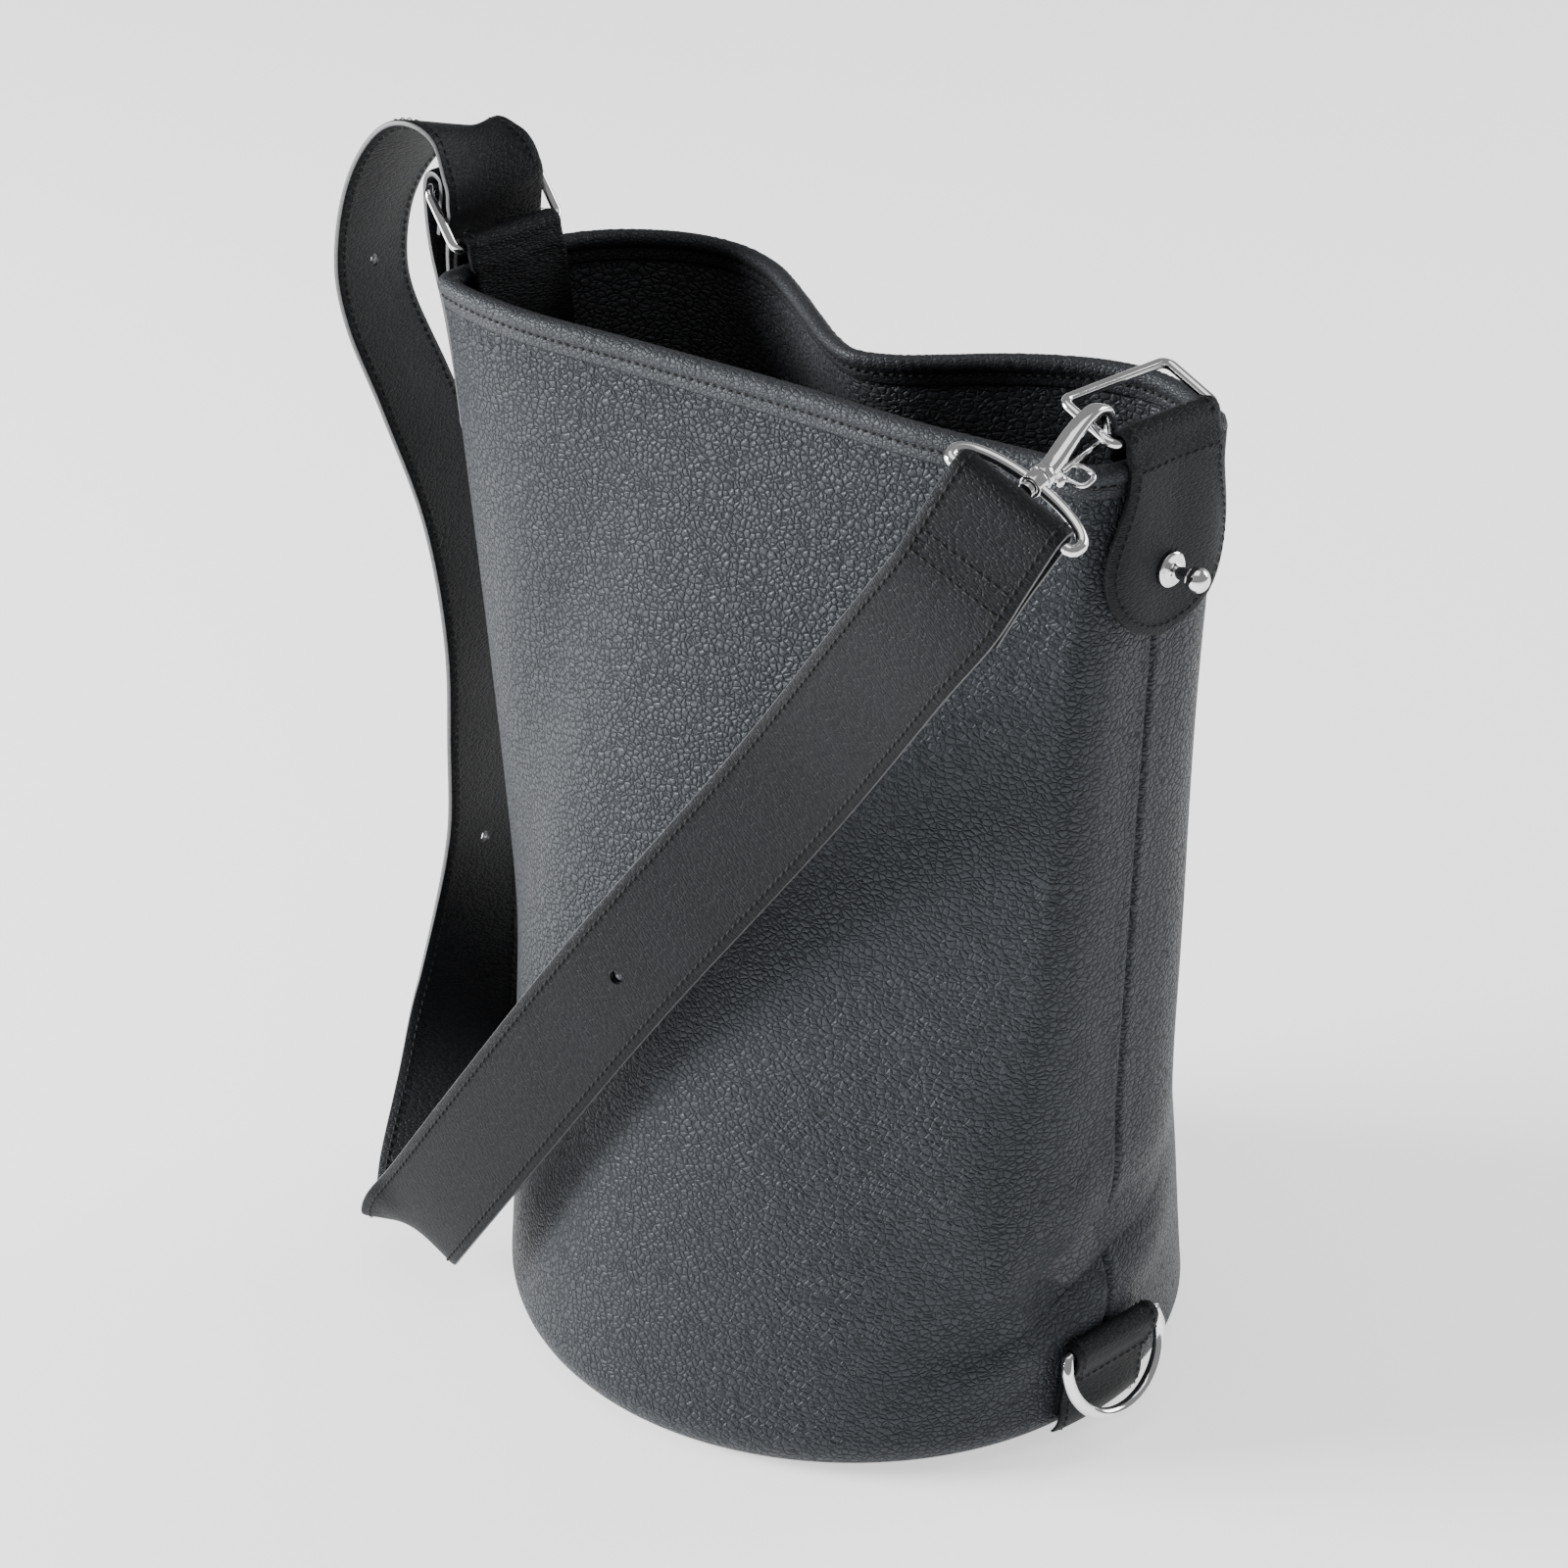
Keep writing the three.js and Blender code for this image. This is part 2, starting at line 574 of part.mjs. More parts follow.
function dring() {
  const half = 21.9;
  const reach = 27;
  const lean = THREE.MathUtils.degToRad(14);
  const down = foot.out.clone().multiplyScalar(Math.sin(lean)).setZ(-Math.cos(lean));
  const at = (w, d) => dringBar.clone().addScaledVector(footAlong, w).addScaledVector(down, d);
  const centres = range(4).map((k) => at(mix(half - 1.2, -half + 1.2, k / 3), 0));
  const arc = 16;
  for (const k of range(arc + 1)) {
    const angle = mix(Math.PI, 0, k / arc);
    centres.push(at(half * Math.cos(angle), 5 + (reach - 5) * Math.sin(angle)));
  }
  return tube(centres, DRING_WIRE, true);
}

// ---------- rim binding ----------
function binding() {
  const profile = [
    [1.3, 342], [1.3, 349.6], [0.3, 351.4], [-1.3, RIM_Z], [-2.9, 351.4], [-3.9, 349.6], [-3.9, 342],
    [-3, 342], [-3, 349], [0.4, 349], [0.4, 342],
  ];
  const around = 2 * PANEL_COLUMNS;
  const sections = range(around).map((i) => profile.map(([out, z]) => wall(i / around, z, out)));
  return loft(sections, true);
}

const disc = (radius, low, high) =>
  turned([[0, 0], [radius, 0], [radius, high - low], [0, high - low]], vec(0, 0, low), vec(0, 0, 1), 64);

const studBores = [rightStud.bore, leftStud.bore];

place("back_panel", cut(skin(0, SHELL, skinTop, 0, 0.5, PANEL_COLUMNS), ...studBores), grained);
place("front_panel", cut(skin(0, SHELL, skinTop, 0.5, 1, PANEL_COLUMNS), ...studBores), grained);
place("lining_back", cut(skin(liningDepth, LINING, skinTop, 0, 0.5, PANEL_COLUMNS), ...studBores), grained);
place("lining_front", cut(skin(liningDepth, LINING, skinTop, 0.5, 1, PANEL_COLUMNS), ...studBores), grained);
place("base_panel", disc(BASE_RADIUS - BASE_FILLET - 1.2, 0, SHELL), grained);
place("base_board", disc(BASE_RADIUS - BASE_FILLET - 4, SHELL + GAP, 4.2), board);
place("lining_base", disc(BASE_RADIUS - BASE_FILLET - 5, 4.5, 5.4), grained);
place("rim_binding", binding(), smooth);
place("tab_right", cut(tab(right), rightStud.bore), smooth);
place("tab_left", cut(tab(left), leftStud.bore), smooth);
place("ring_right", rectangle(rightBar, right.along, rightDeep, TAB_RING_HALF, TAB_RING_DEPTH, TAB_RING_WIRE), silver);
place("ring_left", rectangle(leftBar, left.along, leftDeep, TAB_RING_HALF, TAB_RING_DEPTH, TAB_RING_WIRE), silver);
place("stud_right", rightStud.stud, silver);
place("stud_left", leftStud.stud, silver);
place("stud_screw_right", rightStud.screw, silver);
place("stud_screw_left", leftStud.screw, silver);
place("strap_outer", cut(ply(GAP / 2, GAP / 2 + PLY), ...holes), smooth);
place("strap_lining", cut(ply(-GAP / 2, -GAP / 2 - PLY), ...holes), smooth);
place("strap_ring", strapRing(), silver);
place("hook_body", hookBody(), silver);
place("hook_gate", hookGate(), silver);
place("gate_pin", rod(0.6, hookAt(...PIVOT, -3), hookAt(...PIVOT, 3), 12), silver);
place("base_tab", baseTab(), smooth);
place("base_dring", dring(), silver);

export default bag;
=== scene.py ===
import math

import bpy
import numpy as np
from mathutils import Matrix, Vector


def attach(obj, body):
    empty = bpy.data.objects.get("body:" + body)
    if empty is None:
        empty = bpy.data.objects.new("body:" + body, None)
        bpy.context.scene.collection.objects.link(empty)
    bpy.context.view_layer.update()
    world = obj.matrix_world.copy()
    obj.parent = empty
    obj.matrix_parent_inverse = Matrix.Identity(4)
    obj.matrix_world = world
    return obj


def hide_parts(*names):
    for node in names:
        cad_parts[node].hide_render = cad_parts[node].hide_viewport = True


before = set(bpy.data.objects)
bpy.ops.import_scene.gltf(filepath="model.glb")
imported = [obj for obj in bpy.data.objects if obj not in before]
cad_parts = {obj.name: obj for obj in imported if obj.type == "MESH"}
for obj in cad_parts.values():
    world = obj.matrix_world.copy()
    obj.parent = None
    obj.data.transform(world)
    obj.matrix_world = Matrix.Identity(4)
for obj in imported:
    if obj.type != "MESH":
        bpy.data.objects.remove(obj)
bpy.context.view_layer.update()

MM = 0.001

# ---------- driving sizes, in millimetres as in the CAD source ----------
RIM_Z = 352.0
BASE_RADIUS = 117.0
BASE_FILLET = 14.0
BASE_TWIST = -0.16
SHELL = 1.4
GAP = 0.3
LINING_DEPTH = SHELL + GAP
STRAP_WIDTH = 39.0
STRAP_HALF_THICK = 1.3
TAB_WIDTH = 39.0
TAB_SKIN = 2.0
TONGUE_Z = 293.0
STUD_Z = 314.0
LOOP_Z = 358.0
LOOP_OUT = -1.3
LOOP_RADIUS = 3.2
TONGUE_OUT = 3.0
TIP_LIFT = 0.02
PAD_CROWN = 0.132
PAD_EDGE = 0.35
INNER_OUT = -6.0
FLARE = 25.0
TAB_RING_WIRE = 1.6
TAB_RING_HALF = 22.4
TAB_RING_DEPTH = 22.0
RING_CORNER = 3.2
STRAP_RING_WIRE = 1.9
STRAP_RING_DEPTH = 12.0
HOOK_REACH = 44.0
DRING_WIRE = 2.1
DRING_Z = 38.0
RING_OUT = 4.7
SHELL_TOP = 348.6
LINING_THICK = 0.9
STITCH_Z = 345.9
STITCH_INSET = 3.0
GIRTH_FOOT = 735
GIRTH_RIM = 640
STRIP_BACK_V = 500
PLY_BACK_V = 900

# The mouth seen from above, anticlockwise from the right seam.
MOUTH = [
    (125, -16), (128.4, 4), (125, 13.5), (115, 21), (103, 27.5), (89, 31), (74, 29), (60, 23),
    (46, 14), (33, 3), (20, -7), (8, -10.5), (-4, -5), (-20, 7), (-38, 21), (-57, 34), (-75, 40),
    (-93, 39), (-109, 32), (-121, 22), (-129, 9), (-132, -11), (-135, -31), (-134, -40),
    (-126, -44), (-95, -49), (-45, -47.5), (10, -46.5), (60, -47.5), (98, -44.5), (115, -43.5),
    (121.6, -36),
]
LEFT_SEAM = 21


# ---------- curves ----------
def unit(v):
    v = np.asarray(v, float)
    return v / np.linalg.norm(v)


def centripetal(points, steps, closed):
    """Points on a centripetal Catmull-Rom curve, steps to a span, as three.js draws it."""
    points = np.asarray(points, float)
    count = len(points)
    spans = count if closed else count - 1
    out = []
    for i in range(spans):
        p1, p2 = points[i], points[(i + 1) % count]
        if closed:
            p0, p3 = points[i - 1], points[(i + 2) % count]
        else:
            p0 = points[i - 1] if i > 0 else 2 * points[0] - points[1]
            p3 = points[i + 2] if i + 2 < count else 2 * points[-1] - points[-2]
        pairs = ((p0, p1), (p1, p2), (p2, p3))
        d0, d1, d2 = (max(np.linalg.norm(b - a) ** 0.5, 1e-4) for a, b in pairs)
        t1 = ((p1 - p0) / d0 - (p2 - p0) / (d0 + d1) + (p2 - p1) / d1) * d1
        t2 = ((p2 - p1) / d1 - (p3 - p1) / (d1 + d2) + (p3 - p2) / d2) * d1
        for k in range(steps):
            t = k / steps
            h = (2 * t**3 - 3 * t**2 + 1, t**3 - 2 * t**2 + t, -2 * t**3 + 3 * t**2, t**3 - t**2)
            out.append(h[0] * p1 + h[1] * t1 + h[2] * p2 + h[3] * t2)
    if not closed:
        out.append(points[-1])
    return np.array(out)


def smoothstep(x, low, high):
    t = np.clip((x - low) / (high - low), 0, 1)
    return t * t * (3 - 2 * t)


def bump(x, centre, width):
    return np.exp(-(((x - centre) / width) ** 2))


def crowded(columns, ease):
    """Places across a strip from -1 to 1, closer together at its edges."""
    even = 2 * np.arange(columns + 1) / columns - 1
    return np.sin(even * math.pi / 2 * ease) / math.sin(math.pi / 2 * ease)


# ---------- the wall: from the round base to the flattened, pinched mouth ----------
_fine = centripetal([(x, y, 0) for x, y in MOUTH], 60, True)[:, :2]
_fine = np.vstack([_fine, _fine[:1]])
_length = np.concatenate([[0], np.cumsum(np.linalg.norm(np.diff(_fine, axis=0), axis=1))])
_share = _length / _length[-1]
_seam_share = _share[LEFT_SEAM * 60]


def mouth(u):
    turn = np.mod(u, 1.0)
    back = 2 * turn * _seam_share
    front = _seam_share + (2 * turn - 1) * (1 - _seam_share)
    share = np.where(turn < 0.5, back, front)
    return np.stack([np.interp(share, _share, _fine[:, 0]), np.interp(share, _share, _fine[:, 1])], -1)


def outline(u, z):
    angle = 2 * np.pi * np.mod(u, 1.0) + BASE_TWIST
    base = BASE_RADIUS * np.stack([np.cos(angle), np.sin(angle)], -1)
    share = np.clip(z / RIM_Z, 0, 1)[..., None]
    return base * (1 - share) + mouth(u) * share


def wall(u, z, out):
    """A point on the wall at height z, moved outwards by out. Arrays of one shape."""
    u, z, out = np.broadcast_arrays(np.asarray(u, float), np.asarray(z, float), np.asarray(out, float))
    step = 0.002
    point = outline(u, z)
    along = outline(u + step, z) - outline(u - step, z)
    along = along / np.linalg.norm(along, axis=-1, keepdims=True)
    x = point[..., 0] + along[..., 1] * out
    y = point[..., 1] - along[..., 0] * out
    return np.stack([x, y, z], -1)


# ---------- mesh helpers ----------
def mesh_object(name, verts, faces, uvs=None):
    mesh = bpy.data.meshes.new(name)
    mesh.from_pydata([tuple(v * MM) for v in np.asarray(verts, float)], [], [tuple(f) for f in faces])
    if uvs is not None:
        layer = mesh.uv_layers.new(name="UVMap")
        flat = np.asarray(uvs, float)
        corner_verts = np.zeros(len(mesh.loops), int)
        mesh.loops.foreach_get("vertex_index", corner_verts)
        layer.data.foreach_set("uv", (flat[corner_verts] * MM).ravel())
    mesh.shade_smooth()
    mesh.update()
    obj = bpy.data.objects.new(name, mesh)
    bpy.context.scene.collection.objects.link(obj)
    return obj


def grid_faces(rows, columns, wrap_rows=False, wrap_columns=False, flip=False, start=0):
    faces = []
    for i in range(rows if wrap_rows else rows - 1):
        for j in range(columns if wrap_columns else columns - 1):
            a = start + i * columns + j
            b = start + ((i + 1) % rows) * columns + j
            c = start + ((i + 1) % rows) * columns + (j + 1) % columns
            d = start + i * columns + (j + 1) % columns
            faces.append((a, d, c, b) if flip else (a, b, c, d))
    return faces


def outward(verts, faces):
    """The faces, turned round if the closed mesh they make is inside out."""
    verts = np.asarray(verts, float)
    total = 0.0
    for size in {len(face) for face in faces}:
        group = np.array([face for face in faces if len(face) == size])
        for k in range(1, size - 1):
            corners = verts[group[:, 0]], verts[group[:, k]], verts[group[:, k + 1]]
            total += np.sum(corners[0] * np.cross(corners[1], corners[2]))
    return faces if total > 0 else [tuple(reversed(face)) for face in faces]


def loft(name, sections, ring=False, uvs=None):
    """A closed solid through sections, each a closed loop with the same number of points."""
    sections = np.asarray(sections, float)
    rows, columns = sections.shape[:2]
    verts = sections.reshape(-1, 3)
    faces = grid_faces(rows, columns, wrap_rows=ring, wrap_columns=True)
    if not ring:
        faces.append(tuple(reversed(range(columns))))
        faces.append(tuple(range((rows - 1) * columns, rows * columns)))
    return mesh_object(name, verts, outward(verts, faces), uvs)


def tube_sections(centres, radius, ring, sides=20):
    centres = np.asarray(centres, float)
    count = len(centres)
    side = None
    sections = []
    angles = 2 * np.pi * np.arange(sides) / sides
    for i, centre in enumerate(centres):
        ahead = centres[(i + 1) % count] if ring else centres[min(i + 1, count - 1)]
        behind = centres[i - 1] if ring or i > 0 else centres[0]
        along = unit(ahead - behind)
        if side is None:
            side = np.array([0, 0, 1.0]) if abs(along[2]) < 0.9 else np.array([1.0, 0, 0])
        side = unit(side - along * np.dot(side, along))
        across = np.cross(along, side)
        sections.append(centre + radius * (np.cos(angles)[:, None] * side + np.sin(angles)[:, None] * across))
    return np.array(sections)


def tube(name, centres, radius, ring=False, sides=20):
    return loft(name, tube_sections(centres, radius, ring, sides), ring)


def turned(name, profile, origin, axis, segments=64):
    """A solid of revolution. The profile starts and ends on the axis."""
    axis = unit(axis)
    side = unit(np.cross(axis, [0, 0, 1.0] if abs(axis[2]) < 0.9 else [1.0, 0, 0]))
    across = np.cross(axis, side)
    verts = [np.asarray(origin, float) + axis * profile[0][1]]
    angles = 2 * np.pi * np.arange(segments) / segments
    rows = profile[1:-1]
    for radius, height in rows:
        centre = np.asarray(origin, float) + axis * height
        verts.extend(centre + radius * (np.cos(angles)[:, None] * side + np.sin(angles)[:, None] * across))
    verts.append(np.asarray(origin, float) + axis * profile[-1][1])
    faces = grid_faces(len(rows), segments, wrap_columns=True, start=1)
    last = len(verts) - 1
    for k in range(segments):
        n = (k + 1) % segments
        faces.append((0, 1 + k, 1 + n))
        faces.append((last, last - segments + n, last - segments + k))
    return mesh_object(name, verts, outward(verts, faces))


def rounded(profile, radius=0.25, steps=3):
    """The profile's inner corners rounded, so that turned metal catches the light."""
    out = [profile[0]]
    for a, b, c in zip(profile, profile[1:], profile[2:]):
        a, b, c = (np.asarray(p, float) for p in (a, b, c))
        before, after = a - b, c - b
        reach = min(radius, np.linalg.norm(before) / 2.2, np.linalg.norm(after) / 2.2)
        start = b + unit(before) * reach
        end = b + unit(after) * reach
        for k in range(steps + 1):
            t = k / steps
            out.append(tuple((1 - t) ** 2 * start + 2 * t * (1 - t) * b + t * t * end))
    out.append(profile[-1])
    return out


def join(name, objects):
    """One object of several. The first keeps its materials."""
    with bpy.context.temp_override(active_object=objects[0], selected_editable_objects=objects):
        bpy.ops.object.join()
    objects[0].name = name
    return objects[0]


def apply_modifiers(obj):
    depsgraph = bpy.context.evaluated_depsgraph_get()
    mesh = bpy.data.meshes.new_from_object(obj.evaluated_get(depsgraph))
    obj.modifiers.clear()
    obj.data = mesh


def cut_holes(obj, rods):
    for rod in rods:
        modifier = obj.modifiers.new("hole", "BOOLEAN")
        modifier.operation = "DIFFERENCE"
        modifier.solver = "EXACT"
        modifier.object = rod
    bpy.context.view_layer.update()
    apply_modifiers(obj)
    obj.data.set_sharp_from_angle(angle=math.radians(40))
    for rod in rods:
        bpy.data.objects.remove(rod)


def dress(obj, material, body, *nodes, slot=None):
    obj.data.materials.clear()
    obj.data.materials.append(material)
    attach(obj, body)
    if nodes:
        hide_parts(*nodes)
    return obj


# ---------- materials ----------
def new_material(name):
    material = bpy.data.materials.new(name)
    material.use_nodes = True
    tree = material.node_tree
    return material, tree, tree.nodes["Principled BSDF"]


def node(tree, kind, settings=None, **sockets):
    made = tree.nodes.new(kind)
    for key, value in (settings or {}).items():
        setattr(made, key, value)
    for key, value in sockets.items():
        made.inputs[key].default_value = value
    return made


def texture(tree, kind, place, settings=None, **sockets):
    """A node that reads the given place."""
    made = node(tree, kind, settings, **sockets)
    tree.links.new(place, made.inputs["Vector"])
    return made


def noise(tree, place, scale, detail, output="Fac"):
    return texture(tree, "ShaderNodeTexNoise", place, Scale=scale, Detail=detail).outputs[output]


def cells(tree, place, feature, **sockets):
    return texture(tree, "ShaderNodeTexVoronoi", place, {"feature": feature}, **sockets).outputs["Distance"]


def math_node(tree, operation, a, b):
    made = node(tree, "ShaderNodeMath", {"operation": operation})
    for socket, value in zip(made.inputs, (a, b)):
        if isinstance(value, (int, float)):
            socket.default_value = value
        else:
            tree.links.new(value, socket)
    return made.outputs[0]


def weighted(tree, a, a_share, b, b_share):
    """a times its share plus b times its share."""
    parts = [math_node(tree, "MULTIPLY", value, share) for value, share in ((a, a_share), (b, b_share))]
    return math_node(tree, "ADD", *parts)


def ramp(tree, value, stops):
    made = node(tree, "ShaderNodeValToRGB")
    elements = made.color_ramp.elements
    while len(elements) < len(stops):
        elements.new(0.5)
    for element, (position, shade) in zip(elements, stops):
        element.position = position
        element.color = (*shade, 1) if isinstance(shade, tuple) else (shade, shade, shade, 1)
    tree.links.new(value, made.inputs["Fac"])
    return made.outputs["Color"]


def warped(tree, place, scale, detail, reach):
    """The place, moved about by a noise."""
    made = node(tree, "ShaderNodeVectorMath", {"operation": "MULTIPLY_ADD"})
    tree.links.new(noise(tree, place, scale, detail, "Color"), made.inputs[0])
    made.inputs[1].default_value = reach
    tree.links.new(place, made.inputs[2])
    return made.outputs[0]


def set_relief(tree, shader, height, depth, strength=1.0):
    made = node(tree, "ShaderNodeBump", Strength=strength, Distance=depth * MM)
    tree.links.new(height, made.inputs["Height"])
    tree.links.new(made.outputs["Normal"], shader.inputs["Normal"])


def set_surface(tree, shader, shade, stops, gloss, roughness):
    tree.links.new(ramp(tree, shade, stops), shader.inputs["Base Color"])
    tree.links.new(math_node(tree, "ADD", gloss, roughness), shader.inputs["Roughness"])


def pebbled_leather(name, dark, light, roughness, cell, depth):
    """Soft grained calf: rounded irregular pebbles, with painted shade darkening the base colour in the
    creases between them.
    """
    material, tree, shader = new_material(name)
    place = node(tree, "ShaderNodeTexCoord").outputs["Object"]
    spread = warped(tree, place, 110.0, 3.0, (0.003, 0.003, 0.003))
    stretch = texture(tree, "ShaderNodeMapping", spread, Scale=(1.0, 1.0, 1.3)).outputs[0]
    edges = cells(tree, stretch, "DISTANCE_TO_EDGE", Scale=1000 / cell)
    small = cells(tree, stretch, "DISTANCE_TO_EDGE", Scale=2200 / cell)
    fine = noise(tree, place, 2600.0, 2.0)
    patch = noise(tree, place, 14.0, 4.0)
    dome = ramp(tree, edges, [(0.0, 0.0), (0.05, 0.35), (0.14, 0.75), (0.34, 1.0)])
    crease = ramp(tree, edges, [(0.0, 0.12), (0.09, 1.0)])
    hair = ramp(tree, small, [(0.0, 0.0), (0.07, 1.0)])
    height = math_node(tree, "ADD", dome, weighted(tree, hair, 0.16, fine, 0.06))
    set_relief(tree, shader, height, depth)
    crease_roughness = 0.34
    # Painted shade: the crease mask darkens the base colour in the creases between the pebbles and also makes
    # them rougher; the patch noise is random tone.
    shade = weighted(tree, patch, 0.4, crease, 0.6)
    gloss = weighted(tree, patch, 0.12, crease, -crease_roughness)
    set_surface(tree, shader, shade, [(0.2, dark), (0.85, light)], gloss, roughness + crease_roughness)
    shader.inputs["Specular IOR Level"].default_value = 0.40
    shader.inputs["Specular Tint"].default_value = (0.86, 0.93, 1.0, 1)
    return material


def ridged_leather(name, dark, light, roughness):
    """Stiff leather embossed with short slanting ridges, laid out along the strip by its UV map, with painted
    shade in the grooves between them.
    """
    material, tree, shader = new_material(name)
    place = node(tree, "ShaderNodeTexCoord").outputs["UV"]
    spread = warped(tree, place, 260.0, 2.0, (0.0006, 0.0006, 0.0))
    slant = (0, 0, math.radians(33))
    turn = texture(tree, "ShaderNodeMapping", spread, Scale=(1.0, 2.9, 1.0), Rotation=slant).outputs[0]
    patch = noise(tree, place, 30.0, 3.0)
    crease = ramp(tree, cells(tree, turn, "DISTANCE_TO_EDGE", Scale=420.0), [(0.0, 0.0), (0.18, 1.0)])
    dome = math_node(tree, "SUBTRACT", 1.0, cells(tree, turn, "SMOOTH_F1", Scale=420.0, Smoothness=0.3))
    set_relief(tree, shader, weighted(tree, dome, 0.5, crease, 0.5), 0.26)
    # Painted shade: the crease mask darkens the base colour along the grooves between the ridges; the patch
    # noise is random tone.
    shade = weighted(tree, patch, 0.6, crease, 0.3)
    gloss = math_node(tree, "MULTIPLY", patch, 0.12)
    set_surface(tree, shader, shade, [(0.2, dark), (0.85, light)], gloss, roughness)
    shader.inputs["Specular IOR Level"].default_value = 0.20
    shader.inputs["Specular Tint"].default_value = (0.9, 0.95, 1.0, 1)
    return material


def plain_surface(name, dark, light, roughness, scale, depth, metallic=0.0):
    material, tree, shader = new_material(name)
    place = node(tree, "ShaderNodeTexCoord").outputs["Object"]
    grain = noise(tree, place, scale, 4.0)
    set_relief(tree, shader, grain, depth, strength=0.5)
    gloss = math_node(tree, "MULTIPLY", grain, 0.08)
    set_surface(tree, shader, grain, [(0.3, dark), (0.7, light)], gloss, roughness)
    shader.inputs["Metallic"].default_value = metallic
    return material


GRAINED = pebbled_leather(
    "grained_leather", (0.004, 0.0043, 0.005), (0.014, 0.0157, 0.0202), 0.40, cell=2.4, depth=0.66)
# The lining is the same grained leather as the shell, given a lighter base colour as painted light for the
# shaded inside of the bag.
LINING_LOOK = pebbled_leather(
    "lining_leather", (0.012, 0.012, 0.0135), (0.045, 0.046, 0.051), 0.38, cell=2.7, depth=0.7)
RIM_LOOK = pebbled_leather(
    "rim_leather", (0.007, 0.007, 0.008), (0.018, 0.0185, 0.021), 0.42, cell=1.8, depth=0.2)
RIDGED = ridged_leather("strap_leather", (0.003, 0.0031, 0.0036), (0.0085, 0.009, 0.0105), 0.50)
EDGE = plain_surface("edge_paint", (0.06, 0.061, 0.064), (0.10, 0.101, 0.105), 0.42, 900.0, 0.05)
THREAD = plain_surface("thread", (0.002, 0.002, 0.0022), (0.005, 0.005, 0.0055), 0.75, 3000.0, 0.08)
METAL = plain_surface(
    "polished_metal", (0.80, 0.80, 0.815), (0.86, 0.86, 0.87), 0.06, 140.0, 0.004, metallic=1.0)
BOARD = plain_surface("stiffener_board", (0.10, 0.085, 0.065), (0.15, 0.125, 0.1), 0.85, 700.0, 0.1)


# ---------- stitching ----------
THREAD_SPACING = 3.0
THREAD_LENGTH = 2.2
THREAD_WIDTH = 0.75
THREAD_HEIGHT = 0.32
THREAD_SLANT = 0.14


def frames_along(points, normals, spacing):
    """Evenly spaced places on a polyline: (position, along, normal)."""
    points = np.asarray(points, float)
    normals = np.asarray(normals, float)
    steps = np.linalg.norm(np.diff(points, axis=0), axis=1)
    length = np.concatenate([[0], np.cumsum(steps)])
    count = max(int(length[-1] / spacing), 1)
    places = (np.arange(count) + 0.5) * length[-1] / count

    def at(where, values):
        return np.stack([np.interp(where, length, values[:, k]) for k in range(3)], -1)

    ways = at(places + 0.3, points) - at(places - 0.3, points)
    return [(p, unit(w), unit(n)) for p, w, n in zip(at(places, points), ways, at(places, normals))]


def thread_bar(place, along, normal, around=6, lengthwise=6):
    """The points of one stitch, sunk into the leather at both ends."""
    along = unit(along + THREAD_SLANT * np.cross(normal, along))
    across = np.cross(normal, along)
    points = []
    for i in range(lengthwise):
        s = 2 * i / (lengthwise - 1) - 1
        lift = THREAD_HEIGHT * (1 - 1.5 * s * s)
        size = math.sqrt(max(1 - s * s, 0.12))
        centre = place + along * s * THREAD_LENGTH / 2
        for j in range(around):
            turn = 2 * math.pi * j / around
            rise = math.sin(turn) * THREAD_HEIGHT * size * 0.7 + lift
            points.append(centre + across * math.cos(turn) * THREAD_WIDTH / 2 * size + normal * rise)
    faces = grid_faces(lengthwise, around, wrap_columns=True)
    faces.append(tuple(range(around)))
    faces.append(tuple((lengthwise - 1) * around + j for j in reversed(range(around))))
    return points, faces


def stitch_object(name, rows):
    """One mesh of thread for rows of (points, normals)."""
    verts = []
    faces = []
    for points, normals in rows:
        for place, along, normal in frames_along(points, normals, THREAD_SPACING):
            bar, sides = thread_bar(place, along, normal)
            faces.extend(tuple(len(verts) + corner for corner in side) for side in sides)
            verts.extend(bar)
    dress(mesh_object(name, verts, faces), THREAD, "bag")


# ---------- the soft body ----------
SEAM_GIRTH = 620.0
SEAM_DEPTH = 1.1

# Dents and folds pushed into the wall, as (turn, height, width in turns, height reach, depth, slant):
# the front sags in a long diagonal, the right seam bulges and creases near its foot.
FOLDS = [
    (0.63, 205, 0.035, 90, -4.0, 0.00045),
    (0.70, 120, 0.040, 70, -3.0, 0.0005),
    (0.86, 180, 0.050, 90, -2.5, -0.0003),
    (0.93, 95, 0.028, 40, 2.5, -0.0004),
    (0.975, 60, 0.018, 26, -3.0, -0.0005),
    (0.955, 48, 0.010, 22, 1.8, -0.0006),
    (0.02, 240, 0.030, 60, -2.0, 0.0),
    (0.25, 190, 0.060, 80, -3.0, 0.0004),
    (0.34, 110, 0.040, 60, -2.5, -0.0005),
    (0.44, 215, 0.030, 80, -2.5, 0.0003),
    (0.10, 140, 0.040, 70, -2.0, 0.0005),
]


def signed_turn(u):
    """The turn from the right seam, from -0.5 to 0.5."""
    return np.mod(u + 0.5, 1.0) - 0.5


def seam_distance(u):
    """How far round it is to the nearer side seam, in turns."""
    return np.minimum(np.abs(signed_turn(u)), np.abs(np.mod(u, 1.0) - 0.5))


def sag(u, z):
    """How far the soft wall is pushed outwards. Nothing at the rim and at the base."""
    total = np.zeros(np.broadcast(u, z).shape)
    for turn, height, width, reach, depth, slant in FOLDS:
        off = signed_turn(u - turn - slant * (z - height))
        total = total + depth * np.exp(-((off / width) ** 2) - ((z - height) / reach) ** 2)
    hold = smoothstep(z, 8, 60) * (1 - smoothstep(z, 270, 335))
    return total * hold * (0.25 + 0.75 * smoothstep(seam_distance(u), 0.004, 0.05))


